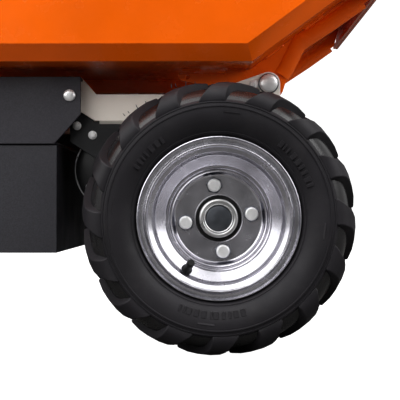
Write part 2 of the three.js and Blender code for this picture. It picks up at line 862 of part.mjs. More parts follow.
// A ring round the tube with a paddle for the thumb. The paddle points inward.
function throttleLever() {
  const section = [[GRIP_BORE, 118.6], [22, 118.6], [22, 132.4], [GRIP_BORE, 132.4]];
  const ring = turnedAlong(section, GRIP_SIDES);
  const arm = box(121, 130, -42, -17, -2.5, 2.5);
  const pad = box(119, 132, -56, -40, -4, 4);
  return join(ring, arm, pad);
}

function crossbar() {
  const [x, z] = onLeg(CROSSBAR_AT);
  const half = HANDLE_Y - HANDLE_R - GAP;
  return rod(CROSSBAR_R, -half, half, x, z, 16);
}

function addHandleSide(group, side) {
  place(group, `handle_tube_${side}`, handleTube(), blackPaint);
  const frame = gripFrame();
  group.add(frame);
  place(frame, `grip_${side}`, grip(), rubber);
  if (side === 'right') {
    place(frame, 'throttle_housing', throttleHousing(), blackPlastic);
    place(frame, 'throttle_lever', throttleLever(), blackPlastic);
  }
}

// ---------------------------------------------------------------- console

function consoleHousing() {
  const { low, high, halfX, halfY, wall } = CONSOLE;
  const profile = outline([
    [-halfX, low],
    [halfX, low],
    [halfX, high - 18],
    [halfX - 18, high],
    [6 - halfX, high],
    [-halfX, high - 6],
  ]);
  const hollow = outline([
    [wall - halfX, low - 1],
    [halfX - wall, low - 1],
    [halfX - wall, high - 19],
    [halfX - 19, high - wall],
    [7 - halfX, high - wall],
    [wall - halfX, high - 7],
  ]);
  const shell = cut(plate(profile, -halfY, halfY), plate(hollow, wall - halfY, halfY - wall));
  const [below, above] = [high - 14, high + 6];
  const bore = (radius, y) => {
    const reach = (radius + GAP) / Math.cos(Math.PI / SWITCH_SIDES);
    const profile = [[0, below], [reach, below], [reach, above], [0, above]];
    return turnedUp(profile, SWITCH_SIDES).translate(0, y, 0);
  };
  const rocker = box(-13, 13, ROCKER_Y - 9, ROCKER_Y + 9, below, above);
  const gauge = box(-14 - GAP, 14 + GAP, GAUGE_Y - 26 - GAP, GAUGE_Y + 26 + GAP, below, above);
  return cut(shell, bore(KEY_R, KEY_Y), bore(STOP_STEM_R, STOP_Y), rocker, gauge);
}

function directionSwitch() {
  const shape = outline([[-11, 46], [11, 46], [11, 57], [0, 55], [-11, 57]]);
  return plate(shape, ROCKER_Y - 8, ROCKER_Y + 8);
}

function keySwitch() {
  const top = CONSOLE.high;
  const profile = [[0, top - 20], [KEY_R, top - 20], [KEY_R, top + 4], [7, top + 6], [0, top + 6]];
  const barrel = turnedUp(profile, SWITCH_SIDES).translate(0, KEY_Y, 0);
  const blade = box(-1.2, 1.2, KEY_Y - 4, KEY_Y + 4, top + 5, top + 14);
  const bow = box(-1.2, 1.2, KEY_Y - 10, KEY_Y + 10, top + 13, top + 34);
  return join(barrel, blade, bow);
}

function stopButton() {
  const top = CONSOLE.high;
  const profile = [
    [0, top - 16],
    [STOP_STEM_R, top - 16],
    [STOP_STEM_R, top + 5],
    [15, top + 5],
    [16, top + 8],
    [15, top + 12],
    [10, top + 14.5],
    [0, top + 15.5],
  ];
  return turnedUp(profile, 16).translate(0, STOP_Y, 0);
}

function batteryGauge() {
  return box(-14, 14, GAUGE_Y - 26, GAUGE_Y + 26, CONSOLE.high - 10, CONSOLE.high + 2);
}

function addConsole(group) {
  place(group, 'handle_crossbar', crossbar(), blackPaint);
  const [x, z] = onLeg(CROSSBAR_AT);
  const panel = new THREE.Group();
  panel.position.set(x, 0, z);
  panel.rotation.y = -CONSOLE_TILT;
  group.add(panel);
  place(panel, 'console_housing', consoleHousing(), blackPlastic);
  place(panel, 'direction_switch', directionSwitch(), redPlastic);
  place(panel, 'key_switch', keySwitch(), steel);
  place(panel, 'stop_button', stopButton(), redPlastic);
  place(panel, 'battery_gauge', batteryGauge(), gaugeLens);
}

// ---------------------------------------------------------------- tray latch

function latchBracket() {
  const base = box(LATCH_X - 19, LATCH_X + 40, -24, 24, RAIL_LOW_REAR, RAIL_LOW_REAR + 4);
  const ear = new THREE.Shape();
  ear.moveTo(LATCH_X - 16, RAIL_LOW_REAR + 3);
  ear.lineTo(LATCH_X + 16, RAIL_LOW_REAR + 3);
  ear.absarc(LATCH_X, LATCH_Z, 11, 0, Math.PI, false);
  const pin = rod(LATCH_PIN_R, -12, 12, LATCH_X, LATCH_Z, 14);
  return join(base, plate(ear, 5, 9), plate(ear, -9, -5), pin);
}

// The hook and the arm that lifts it off the striker, turned about one pin.
function trayLatch() {
  const x = (dx) => STRIKER_X + dx;
  const z = (dz) => STRIKER_Z + dz;
  const shape = new THREE.Shape();
  shape.absarc(LATCH_X, LATCH_Z, 12, Math.PI * 0.95, Math.PI * 2, false);
  shape.lineTo(x(-13), z(-20));
  shape.lineTo(x(-8), z(-8));
  shape.lineTo(x(-8), z(STRIKER_R + 1));
  shape.lineTo(x(6), z(STRIKER_R + 1));
  shape.lineTo(x(9), z(9));
  shape.lineTo(x(-2), z(20));
  shape.lineTo(x(-24), z(16));
  addHole(shape, LATCH_X, LATCH_Z, LATCH_PIN_R + GAP);
  const hook = plate(shape, -4, 4);
  const bend = [LATCH_BEND.x, LATCH_BEND.z];
  const tip = [LATCH_TIP.x, LATCH_TIP.z];
  const rise = bentPath([[LATCH_X - 4, LATCH_Z + 16], bend, tip], 0, 20);
  return join(hook, pipe(rise, 5, 0, 7, 6));
}

function latchKnob() {
  const base = 1.2;
  const profile = [[0, base], [9, base], [14, 10], [16, 18], [13, 27], [6, 32], [0, 33]];
  const lean = Math.atan2(LATCH_BEND.x - LATCH_TIP.x, LATCH_TIP.z - LATCH_BEND.z);
  return turnedUp(profile, 12).rotateY(-lean).translate(LATCH_TIP.x, 0, LATCH_TIP.z);
}

// ---------------------------------------------------------------- assembly

const machine = new THREE.Group();
machine.position.x = AXLE_X;

for (const side of ['right', 'left']) {
  const half = new THREE.Group();
  half.scale.y = side === 'right' ? -1 : 1;
  machine.add(half);
  addChassisSide(half, side);
  addDriveUnitSide(half, side);
  addWheel(half, side);
  addCaster(half, side);
  addHandleSide(half, side);
  place(half, `hinge_bracket_${side}`, hingeBracket(), orangePaint);
}

addCrossMembers(machine);
addBatteryBox(machine);
addConsole(machine);
place(machine, 'tray_pan', trayPan(), orangePaint);
place(machine, 'differential', differential(), steel);
place(machine, 'latch_bracket', latchBracket(), zinc);
place(machine, 'tray_latch', trayLatch(), zinc);
place(machine, 'latch_knob', latchKnob(), blackPlastic);

export default machine;
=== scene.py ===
"""The looks of the power wheelbarrow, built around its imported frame.

Metres. +X is forward, +Y is the machine's left and +Z is up.
"""

import json
import math
import random

import bmesh
import bpy
from mathutils import Matrix, Vector


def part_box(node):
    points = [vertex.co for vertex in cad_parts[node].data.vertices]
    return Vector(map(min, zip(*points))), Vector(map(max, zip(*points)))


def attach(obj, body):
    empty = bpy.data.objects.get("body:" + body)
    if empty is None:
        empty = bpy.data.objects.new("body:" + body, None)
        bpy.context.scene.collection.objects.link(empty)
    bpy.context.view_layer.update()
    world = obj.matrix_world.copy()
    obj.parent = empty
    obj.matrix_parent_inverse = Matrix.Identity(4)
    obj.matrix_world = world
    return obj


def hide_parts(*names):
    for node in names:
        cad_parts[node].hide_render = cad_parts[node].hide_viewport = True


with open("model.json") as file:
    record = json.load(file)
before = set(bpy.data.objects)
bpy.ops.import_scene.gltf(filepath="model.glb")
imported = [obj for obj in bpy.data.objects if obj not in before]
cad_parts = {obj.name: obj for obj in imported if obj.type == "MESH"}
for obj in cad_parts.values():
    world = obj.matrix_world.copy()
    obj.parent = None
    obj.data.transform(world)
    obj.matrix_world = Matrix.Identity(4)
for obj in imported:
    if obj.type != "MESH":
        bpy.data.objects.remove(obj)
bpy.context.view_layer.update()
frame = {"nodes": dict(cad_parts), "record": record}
NODES = frame["nodes"]
BODY_OF = {n: body for body, names in frame["record"]["behaviour"]["bodies"].items() for n in names}
SLOT_OF = {row["node"]: row["material_slot"] for row in frame["record"]["subparts"]}
MM = 0.001
SIDES = {"right": -1, "left": 1}


def centre_of(node):
    low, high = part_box(node)
    return (low + high) / 2


AXLE = centre_of("rim_right")
AXLE_X, AXLE_Z = AXLE.x, AXLE.z
WHEEL_Y = abs(AXLE.y)


# ---- camera, floor and light

LENS, SENSOR = 101.6, 36.0
CAMERA_PLACE = (AXLE_X - 0.0104, -1.652, 0.175)
CAMERA_TURN = math.radians(0.507)  # to the machine's rear, and upward
# How bright the soft light is, by how much of its direction is sideways.
SIDE_LIGHT = [(0.0, 0.62), (0.55, 0.8), (0.78, 0.62), (0.9, 0.2), (1.0, 0.13)]
# The light's gain, from just below the horizon to straight above.
LOWEST, LOW_GAIN, HIGH_GAIN = -0.2, 0.45, 1.15
LIT_PLACE = (AXLE_X, -0.3, 0.3)
FLOOR_SIZE, FLOOR_GLOW = 60, 0.9


def make_camera():
    """A side view from the machine's right at hub height, close to the drive wheel."""
    data = bpy.data.cameras.new("camera")
    data.lens = LENS
    data.sensor_width = SENSOR
    camera = bpy.data.objects.new("camera", data)
    bpy.context.scene.collection.objects.link(camera)
    camera.location = CAMERA_PLACE
    look = Vector((-math.sin(CAMERA_TURN), 1.0, math.sin(CAMERA_TURN)))
    camera.rotation_mode = "QUATERNION"
    camera.rotation_quaternion = look.to_track_quat("-Z", "Y")
    bpy.context.scene.camera = camera


def area_light(name, place, aim, size, power):
    data = bpy.data.lights.new(name, "AREA")
    data.shape = "RECTANGLE"
    data.size, data.size_y = size
    data.energy = power
    lamp = bpy.data.objects.new(name, data)
    lamp.location = place
    aim_at = Vector(aim) - Vector(place)
    lamp.rotation_mode = "QUATERNION"
    lamp.rotation_quaternion = aim_at.to_track_quat("-Z", "Y")
    bpy.context.scene.collection.objects.link(lamp)


def make_sky():
    """White behind the object. For the light it is soft all round, with the two sides the
    wheels face kept dim, so that metal shows its shape."""
    world = bpy.data.worlds.new("studio")
    world.use_nodes = True
    nodes, links = world.node_tree.nodes, world.node_tree.links
    place = nodes.new("ShaderNodeTexCoord")
    split = nodes.new("ShaderNodeSeparateXYZ")
    links.new(place.outputs["Generated"], split.inputs[0])
    sideways = nodes.new("ShaderNodeMath")
    sideways.operation = "ABSOLUTE"
    links.new(split.outputs["Y"], sideways.inputs[0])
    band = nodes.new("ShaderNodeValToRGB")
    while len(band.color_ramp.elements) < len(SIDE_LIGHT):
        band.color_ramp.elements.new(0.5)
    for element, (at_value, level) in zip(band.color_ramp.elements, SIDE_LIGHT):
        element.position = at_value
        element.color = (level, level, level, 1)
    links.new(sideways.outputs[0], band.inputs["Fac"])
    upward = nodes.new("ShaderNodeMapRange")
    upward.inputs["From Min"].default_value = LOWEST
    upward.inputs["To Min"].default_value = LOW_GAIN
    upward.inputs["To Max"].default_value = HIGH_GAIN
    links.new(split.outputs["Z"], upward.inputs["Value"])
    product = nodes.new("ShaderNodeMath")
    product.operation = "MULTIPLY"
    links.new(band.outputs["Color"], product.inputs[0])
    links.new(upward.outputs["Result"], product.inputs[1])
    rays = nodes.new("ShaderNodeLightPath")
    strength = nodes.new("ShaderNodeMath")
    strength.operation = "MAXIMUM"
    links.new(product.outputs[0], strength.inputs[0])
    links.new(rays.outputs["Is Camera Ray"], strength.inputs[1])
    links.new(strength.outputs[0], nodes["Background"].inputs["Strength"])
    nodes["Background"].inputs["Color"].default_value = (1, 1, 1, 1)
    bpy.context.scene.world = world


def make_studio():
    make_sky()
    view = bpy.context.scene.view_settings
    view.view_transform = "Standard"
    view.look = "Medium High Contrast"
    area_light("key", (AXLE_X - 1.6, -1.9, 2.0), LIT_PLACE, (3.6, 3.6), 82)
    area_light("fill", (AXLE_X + 1.9, -1.3, 1.7), LIT_PLACE, (1.8, 2.4), 36)
    area_light("top", (AXLE_X, 0, 3.6), (AXLE_X, 0, 0), (3.5, 3.5), 45)
    area_light("rear", (-1.6, 2.6, 2.2), (0, 0, 0.5), (1.6, 1.6), 40)
    bpy.ops.mesh.primitive_plane_add(size=FLOOR_SIZE, location=(0, 0, 0))
    floor = bpy.context.object
    floor.name = "floor"
    floor.data.materials.append(floor_material())


# ---- materials

class Tree:
    """A short way to build a procedural material around one Principled shader."""

    def __init__(self, name):
        self.material = bpy.data.materials.new(name)
        self.material.use_nodes = True
        self.nodes = self.material.node_tree.nodes
        self.links = self.material.node_tree.links
        self.shader = self.nodes["Principled BSDF"]
        self.place = self.nodes.new("ShaderNodeTexCoord").outputs["Object"]
        self.bumps = []

    def set(self, **sockets):
        for name, value in sockets.items():
            self.shader.inputs[name.replace("_", " ")].default_value = value

    def noise(self, scale, detail=4.0, rough=0.55, stretch=None):
        node = self.nodes.new("ShaderNodeTexNoise")
        node.inputs["Scale"].default_value = scale
        node.inputs["Detail"].default_value = detail
        node.inputs["Roughness"].default_value = rough
        place = self.place
        if stretch:
            mapping = self.nodes.new("ShaderNodeMapping")
            mapping.inputs["Scale"].default_value = stretch
            self.links.new(self.place, mapping.inputs["Vector"])
            place = mapping.outputs["Vector"]
        self.links.new(place, node.inputs["Vector"])
        return node.outputs["Fac"]

    def cells(self, scale):
        node = self.nodes.new("ShaderNodeTexVoronoi")
        node.inputs["Scale"].default_value = scale
        self.links.new(self.place, node.inputs["Vector"])
        return node.outputs["Distance"]

    def edges(self, low, high):
        """White on the outward edges of a shape and black elsewhere."""
        geometry = self.nodes.new("ShaderNodeNewGeometry")
        return self.ramp(geometry.outputs["Pointiness"], [(low, 0.0), (high, 1.0)])

    def ramp(self, value, stops):
        """Maps a value through grey levels or colours at the stops given."""
        node = self.nodes.new("ShaderNodeValToRGB")
        band = node.color_ramp
        while len(band.elements) < len(stops):
            band.elements.new(0.5)
        for element, (at, color) in zip(band.elements, stops):
            element.position = at
            level = (color,) * 3 if isinstance(color, (int, float)) else tuple(color)
            element.color = (*level, 1)
        self.links.new(value, node.inputs["Fac"])
        return node.outputs["Color"]

    def mix(self, amount, first, second, blend="MIX"):
        node = self.nodes.new("ShaderNodeMix")
        node.data_type = "RGBA"
        node.blend_type = blend
        for socket, value in ((node.inputs[0], amount), (node.inputs[6], first), (node.inputs[7], second)):
            if isinstance(value, (int, float)):
                socket.default_value = value
            elif isinstance(value, (tuple, list)):
                socket.default_value = (*value, 1)
            else:
                self.links.new(value, socket)
        return node.outputs[2]

    def color(self, socket):
        self.links.new(socket, self.shader.inputs["Base Color"])

    def rough(self, value, low, high):
        self.links.new(self.ramp(value, [(0.3, low), (0.7, high)]), self.shader.inputs["Roughness"])

    def bump(self, value, strength, distance):
        node = self.nodes.new("ShaderNodeBump")
        node.inputs["Strength"].default_value = strength
        node.inputs["Distance"].default_value = distance
        self.links.new(value, node.inputs["Height"])
        if self.bumps:
            self.links.new(self.bumps[-1], node.inputs["Normal"])
        self.bumps.append(node.outputs["Normal"])
        self.links.new(node.outputs["Normal"], self.shader.inputs["Normal"])


def scaled(color, amount):
    return tuple(min(1.0, c * amount) for c in color)


def paint(name, color, rough, coat, orange_peel, chip, wear):
    """Powder coat or paint: faint mottling, orange peel and lighter worn edges."""
    tree = Tree(name)
    mottle = tree.ramp(tree.noise(9, 5), [(0.3, scaled(color, 0.9)), (0.72, scaled(color, 1.06))])
    worn = tree.mix(wear, (0, 0, 0), tree.edges(0.53, 0.62), "MULTIPLY")
    tree.color(tree.mix(tree.ramp(worn, [(0.05, 0.0), (0.9, 1.0)]), mottle, chip))
    tree.rough(tree.noise(24, 6), *rough)
    tree.bump(tree.noise(900, 2), orange_peel, 0.0004)
    tree.set(Coat_Weight=coat, Coat_Roughness=0.14)
    return tree.material


def textured_paint(name, color):
    """Fine-textured powder coat with a dry sheen."""
    tree = Tree(name)
    speck = tree.ramp(tree.noise(700, 3), [(0.35, scaled(color, 0.7)), (0.66, scaled(color, 1.35))])
    cloudy = tree.ramp(tree.noise(7, 4), [(0.3, scaled(color, 0.8)), (0.7, color)])
    tree.color(tree.mix(0.35, speck, cloudy))
    tree.rough(tree.noise(18, 5), 0.42, 0.6)
    tree.bump(tree.noise(1500, 3), 0.22, 0.0004)
    return tree.material


def plated(name, color, rough=(0.24, 0.42), tint=(0.5, 0.44, 0.5), grain=0.05, metallic=1.0):
    """Zinc plate: metallic, cloudy, with faint warm and violet passivation."""
    tree = Tree(name)
    cloudy = tree.ramp(tree.noise(30, 6, 0.65), [(0.34, scaled(color, 0.82)), (0.66, scaled(color, 1.1))])
    stain = tree.ramp(tree.noise(13, 4), [(0.5, 0.0), (0.75, 0.35)])
    tree.color(tree.mix(stain, cloudy, tint))
    tree.rough(tree.noise(60, 6), *rough)
    tree.bump(tree.noise(500, 4), grain, 0.0004)
    tree.set(Metallic=metallic)
    return tree.material


def turned_steel(name, color):
    """Machined steel with fine lathe lines along Y."""
    tree = Tree(name)
    lines = tree.noise(260, 3, 0.6, stretch=(0.05, 6, 0.05))
    tree.color(tree.ramp(lines, [(0.3, scaled(color, 0.75)), (0.7, color)]))
    tree.rough(tree.noise(50, 5), 0.2, 0.36)
    tree.bump(lines, 0.12, 0.0003)
    tree.set(Metallic=1.0)
    return tree.material


def plastic(name, color, rough=(0.42, 0.55), grain=0.18):
    """Moulded plastic with a fine spark-eroded grain."""
    tree = Tree(name)
    tree.color(tree.ramp(tree.noise(14, 4), [(0.3, scaled(color, 0.85)), (0.7, scaled(color, 1.12))]))
    tree.rough(tree.noise(35, 5), *rough)
    tree.bump(tree.cells(1600), grain, 0.0003)
    return tree.material


def rubber(name, color, dust=(0.16, 0.145, 0.13), amount=0.12, rough=(0.48, 0.72), shine=0.25):
    """Moulded rubber: slightly dusty, with a soft sheen and mould grain."""
    tree = Tree(name)
    base = tree.ramp(tree.noise(16, 5), [(0.3, scaled(color, 0.8)), (0.7, scaled(color, 1.2))])
    dusty = tree.ramp(tree.noise(42, 7, 0.7), [(0.52, 0.0), (0.78, amount)])
    tree.color(tree.mix(dusty, base, dust))
    tree.rough(tree.noise(28, 6), *rough)
    tree.bump(tree.noise(420, 4), 0.2, 0.0005)
    tree.set(Specular_IOR_Level=shine)
    return tree.material


def floor_material():
    tree = Tree("studio_floor")
    seen = tree.nodes.new("ShaderNodeLightPath").outputs["Is Camera Ray"]
    pale = tree.ramp(tree.noise(0.8, 2), [(0.2, (0.29, 0.29, 0.29)), (0.8, (0.31, 0.31, 0.31))])
    tree.color(tree.mix(seen, (0.13, 0.129, 0.125), pale))
    glow = tree.nodes.new("ShaderNodeMath")
    glow.operation = "MULTIPLY"
    glow.inputs[1].default_value = FLOOR_GLOW
    tree.links.new(seen, glow.inputs[0])
    tree.links.new(glow.outputs[0], tree.shader.inputs["Emission Strength"])
    tree.set(Roughness=0.75, Emission_Color=(1, 1, 1, 1), Specular_IOR_Level=0.0)
    return tree.material


def glowing(name, color, strength):
    tree = Tree(name)
    tree.color(tree.ramp(tree.noise(80, 2), [(0.2, scaled(color, 0.8)), (0.8, color)]))
    tree.set(Roughness=0.3, Emission_Color=(*color, 1), Emission_Strength=strength)
    return tree.material


MATERIALS = {
    "orange_paint": paint("orange_paint", (0.93, 0.15, 0.0), (0.2, 0.3), 0.1, 0.04, (0.9, 0.32, 0.16), 0.3),
    "cream_paint": paint("cream_paint", (0.95, 0.88, 0.8), (0.3, 0.42), 0.25, 0.08, (0.8, 0.78, 0.72), 0.2),
    "grey_cover": textured_paint("grey_cover", (0.033, 0.031, 0.039)),
    "box_paint": textured_paint("box_paint", (0.032, 0.031, 0.038)),
    "black_paint": paint("black_paint", (0.012, 0.012, 0.014), (0.3, 0.45), 0.15, 0.1, (0.1, 0.1, 0.1),
                         0.3),
    "black_plastic": plastic("black_plastic", (0.014, 0.014, 0.016)),
    "grip_rubber": rubber("grip_rubber", (0.012, 0.012, 0.012)),
    "tyre_rubber": rubber("tyre_rubber", (0.021, 0.0195, 0.0225), (0.07, 0.064, 0.06), 0.16, (0.4, 0.6)),
    "zinc_plate": plated("zinc_plate", (0.6, 0.6, 0.6)),
    "rim_zinc": plated("rim_zinc", (0.64, 0.63, 0.68), (0.22, 0.28), (0.66, 0.63, 0.7), 0.01),
    # bright zinc: lighter and half diffuse, so the fasteners carry a painted highlight on top of their zinc
    # colour
    "bright_zinc_and_highlight": plated("bright_zinc_and_highlight", (0.92, 0.92, 0.92), (0.26, 0.36), (0.86, 0.84, 0.86), 0.05, 0.5),
    # dark zinc: the own colour of the hub plug and the pivot washer, and painted shadow on the wheel nuts'
    # seats
    "dark_zinc_and_shade": plated("dark_zinc_and_shade", (0.16, 0.17, 0.19), (0.3, 0.5), (0.2, 0.2, 0.2), 0.3),
    "machined_steel": turned_steel("machined_steel", (0.56, 0.55, 0.54)),
    "finned_aluminium": plated("finned_aluminium", (0.7, 0.7, 0.72), (0.35, 0.5)),
    "grey_plastic": plastic("grey_plastic", (0.09, 0.09, 0.1)),
    "red_plastic": plastic("red_plastic", (0.5, 0.015, 0.01), (0.2, 0.3), 0.05),
    "tread_floor": rubber("tread_floor", (0.014, 0.013, 0.014), (0.05, 0.045, 0.045), 0.06, (0.2, 0.32),
                          0.6),
    "gauge_lens": plastic("gauge_lens", (0.02, 0.035, 0.03), (0.06, 0.12), 0.02),
}


# ---- shapes

def add_piece(name, mesh, body, slot, replaces=(), material=None):
    """Gives a finished mesh its object, material and body; the slot picks the material when none is given.
    """
    piece = bpy.data.objects.new(name, mesh)
    bpy.context.scene.collection.objects.link(piece)
    mesh.materials.clear()
    mesh.materials.append(material or MATERIALS[slot])
    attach(piece, body)
    if replaces:
        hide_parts(*replaces)
    return piece


def round_edges(piece, width, segments=2, angle=30):
    bevel = piece.modifiers.new("rounded edges", "BEVEL")
    bevel.width = width * MM
    bevel.segments = segments
    bevel.limit_method = "ANGLE"
    bevel.angle_limit = math.radians(angle)
    bevel.harden_normals = True
    bevel.use_clamp_overlap = True


def mesh_from(bm, name, smooth_angle=35):
    bmesh.ops.recalc_face_normals(bm, faces=bm.faces)
    mesh = bpy.data.meshes.new(name)
    bm.to_mesh(mesh)
    bm.free()
    mesh.shade_smooth()
    mesh.set_sharp_from_angle(angle=math.radians(smooth_angle))
    return mesh


def refined(node, bevel, segments=2, material=None):
    """A copy of a CAD node with merged facets and rounded edges."""
    bm = bmesh.new()
    bm.from_mesh(NODES[node].data)
    bmesh.ops.remove_doubles(bm, verts=bm.verts, dist=0.02 * MM)
    bmesh.ops.dissolve_limit(bm, angle_limit=math.radians(1), verts=bm.verts, edges=bm.edges)
    piece = add_piece(node + "_fine", mesh_from(bm, node), BODY_OF[node], SLOT_OF[node], [node], material)
    round_edges(piece, bevel, segments)


def axis_frame(origin, direction):
    """A matrix whose Z runs along the direction from the origin."""
    turn = Vector(direction).normalized().to_track_quat("Z", "Y").to_matrix().to_4x4()
    return Matrix.Translation(Vector(origin)) @ turn


def add_ring(bm, matrix, radius, along, count, phase):
    ring = []
    for i in range(count):
        turn = phase + 2 * math.pi * i / count
        place = Vector((radius * math.cos(turn), radius * math.sin(turn), along))
        ring.append(bm.verts.new(matrix @ place))
    return ring


def add_turned(bm, profile, matrix, count, phase=0.0):
    """Turns (radius, along) points in millimetres about the matrix's Z. A closed loop of points
    makes a ring, and a profile that starts and ends on the axis makes a solid."""
    rows = []
    for radius, along in profile:
        if radius <= 0:
            rows.append([bm.verts.new(matrix @ Vector((0, 0, along * MM)))])
        else:
            rows.append(add_ring(bm, matrix, radius * MM, along * MM, count, phase))
    solid = profile[0][0] <= 0 and profile[-1][0] <= 0
    pairs = list(zip(rows, rows[1:])) + ([] if solid else [(rows[-1], rows[0])])
    for low, high in pairs:
        for i in range(count):
            j = (i + 1) % count
            if len(low) == 1:
                bm.faces.new((low[0], high[i], high[j]))
            elif len(high) == 1:
                bm.faces.new((low[i], high[0], low[j]))
            else:
                bm.faces.new((low[i], low[j], high[j], high[i]))


def add_prism(bm, outline, low, high, place):
    """A prism over a flat outline. place maps (a, b, depth) in millimetres to a point."""
    rows = [[bm.verts.new(place(a, b, depth)) for a, b in outline] for depth in (low, high)]
    bm.faces.new(rows[0][::-1])
    bm.faces.new(rows[1])
    count = len(outline)
    for i in range(count):
        j = (i + 1) % count
        bm.faces.new((rows[0][i], rows[0][j], rows[1][j], rows[1][i]))


def add_loft(bm, rows):
    """A closed skin over rows of points that all have the same count, with flat ends."""
    made = [[bm.verts.new(point) for point in row] for row in rows]
    count = len(rows[0])
    for low, high in zip(made, made[1:]):
        for i in range(count):
            j = (i + 1) % count
            bm.faces.new((low[i], low[j], high[j], high[i]))
    bm.faces.new(made[0][::-1])
    bm.faces.new(made[-1])


def turned_piece(name, profile, origin, direction, body, slot, count=64, material=None, replaces=()):
    bm = bmesh.new()
    add_turned(bm, profile, axis_frame(origin, direction), count)
    add_piece(name, mesh_from(bm, name), body, slot, replaces, material)


def turned_again(node, profile, origin, direction, count, material=None):
    """A CAD node's round shape, turned finely, in the node's place."""
    turned_piece(node + "_fine", profile, origin, direction, BODY_OF[node], SLOT_OF[node], count, material,
                 [node])


def mirrored(profile):
    """The profile, then its points again on the other side of the middle plane."""
    return profile + [(r, -y) for r, y in reversed(profile)]


def add_bolt(bm, place, out, radius, domed):
    """A hex-headed bolt with a washer, or a pan-headed one, that sits on the surface at place and
    faces out. Radius is half the distance across the head's corners, in millimetres."""
    matrix = axis_frame(place, out)
    height = radius * 0.62
    washer = radius * 1.22
    if domed:
        add_turned(bm, [(0, -0.5), (radius, -0.5), (radius, height * 0.35), (radius * 0.93, height * 0.66),
                        (radius * 0.72, height * 0.9), (radius * 0.4, height), (0, height)], matrix, 40)
        socket = [(0, height - 0.1), (radius * 0.42, height - 0.1), (radius * 0.42, height + 0.25),
                  (radius * 0.3, height + 0.25), (radius * 0.3, height * 0.8), (0, height * 0.8)]
        add_turned(bm, socket, matrix, 6)
        return
    add_turned(bm, [(0, -0.5), (washer, -0.5), (washer, 0.9), (washer * 0.96, 1.3), (0, 1.3)], matrix, 36)
    head = [(0, 1.2), (radius * 0.97, 1.2), (radius, 1.6), (radius, height), (radius * 0.86, height + 1.0),
            (0, height + 1.0)]
    add_turned(bm, head, matrix, 6, phase=0.3)
    boss = radius * 0.55
    add_turned(bm, [(0, height), (boss, height), (boss, height + 1.3), (boss * 0.8, height + 1.8),
                    (0, height + 1.8)], matrix, 24)


def bolts_piece(name, rows):
    """Fasteners of the chassis in one piece. Each row is (place, out, radius, domed)."""
    bm = bmesh.new()
    for place, out, radius, domed in rows:
        add_bolt(bm, place, out, radius, domed)
    # The heads take the lightened zinc, a painted highlight.
    material = MATERIALS["bright_zinc_and_highlight"]
    piece = add_piece(name, mesh_from(bm, name, 28), "chassis", "zinc_plate", material=material)
    round_edges(piece, 0.35, 2, 40)


def smooth_path(corners, radius, steps):
    """The corners of a bent tube, with each bend rounded to the radius."""
    points = [Vector(corners[0])]
    for before, corner, after in zip(corners, corners[1:], corners[2:]):
        before, corner, after = Vector(before), Vector(corner), Vector(after)
        back, ahead = (before - corner).normalized(), (after - corner).normalized()
        half = back.angle(ahead) / 2
        reach = radius / math.tan(half)
        middle = corner + (back + ahead).normalized() * radius / math.sin(half)
        start, end = corner + back * reach - middle, corner + ahead * reach - middle
        for i in range(steps + 1):
            points.append(middle + start.normalized().slerp(end.normalized(), i / steps) * radius)
    points.append(Vector(corners[-1]))
    return points


def add_sweep(bm, points, radius, count, squash=1.0):
    """A round bar along the points, closed at both ends. Squash widens it across its path."""
    rows = []
    for i, point in enumerate(points):
        ahead = (points[min(i + 1, len(points) - 1)] - points[max(i - 1, 0)]).normalized()
        side = Vector((0, 1, 0)) if abs(ahead.y) < 0.9 else Vector((0, 0, 1))
        across = ahead.cross(side).normalized()
        side = across.cross(ahead).normalized()
        turns = [2 * math.pi * k / count for k in range(count)]
        rows.append([point + radius * (math.cos(turn) * side + squash * math.sin(turn) * across)
                     for turn in turns])
    add_loft(bm, rows)


def add_weld(bm, start, end, radius, seed):
    """A weld bead of overlapping ripples from start to end, in metres."""
    rng = random.Random(seed)
    start, end = Vector(start), Vector(end)
    length = (end - start).length
    steps = max(4, int(length / (1.1 * MM)))
    points, radii = [], []
    for i in range(steps + 1):
        ripple = 0.5 + 0.5 * math.cos(2 * math.pi * i / 3)
        points.append(start.lerp(end, i / steps))
        end_size = 0.55 if i in (0, steps) else 1
        radii.append(radius * MM * (0.86 + 0.12 * ripple + 0.05 * rng.random()) * end_size)
    ahead = (end - start).normalized()
    side = ahead.orthogonal().normalized()
    across = ahead.cross(side)
    turns = [math.pi * k / 4 for k in range(8)]
    rows = [[p + r * (math.cos(turn) * side + math.sin(turn) * across) for turn in turns]
            for p, r in zip(points, radii)]
    add_loft(bm, rows)


def welds_piece(name, body, slot, lines, radius):
    bm = bmesh.new()
    for seed, (start, end) in enumerate(lines):
        add_weld(bm, start, end, radius, seed)
    add_piece(name, mesh_from(bm, name, 60), body, slot)


def at(x, y, z):
    """A point from millimetres ahead of the drive axle, left of the middle and above the ground."""
    return Vector((AXLE_X + x * MM, y * MM, z * MM))


# ---- drive wheels

PITCHES = 16
PITCH = 2 * math.pi / PITCHES
TYRE_R = centre_of("tyre_right").z / MM - 0.2
TREAD_FLOOR_R = 139.0
FIRST_LUG = math.radians(3.4)
FIRST_NUT = 7.5  # degrees from forward
NUT_CIRCLE_R, DISC_OUT = 40, 7.0
VALVE_ANGLE = math.radians(238)
# Across the tyre from its middle: how far out, the top's radius, the root's radius and how far
# out the root is, half the top's width and half the root's, and the lead in degrees.
LUG_ROWS = [
    (-3.0, 165.0, 150.0, -3.0, 7.0, 10.0, 19.0),
    (12.0, 164.8, 150.0, 12.0, 8.4, 11.5, 14.2),
    (28.0, 163.2, 149.0, 28.0, 9.4, 13.0, 9.6),
    (42.0, 160.6, 146.0, 40.0, 10.0, 14.2, 6.0),
    (51.0, 157.6, 142.0, 46.0, 10.4, 15.4, 4.2),
    (56.6, 153.4, 139.0, 50.0, 11.4, 16.4, 2.9),
    (60.2, 147.6, 136.0, 52.0, 13.0, 17.0, 1.5),
    (61.8, 142.0, 133.0, 54.0, 14.8, 17.0, 0.4),
    (61.2, 137.6, 131.0, 56.0, 15.8, 16.8, 0.0),
]
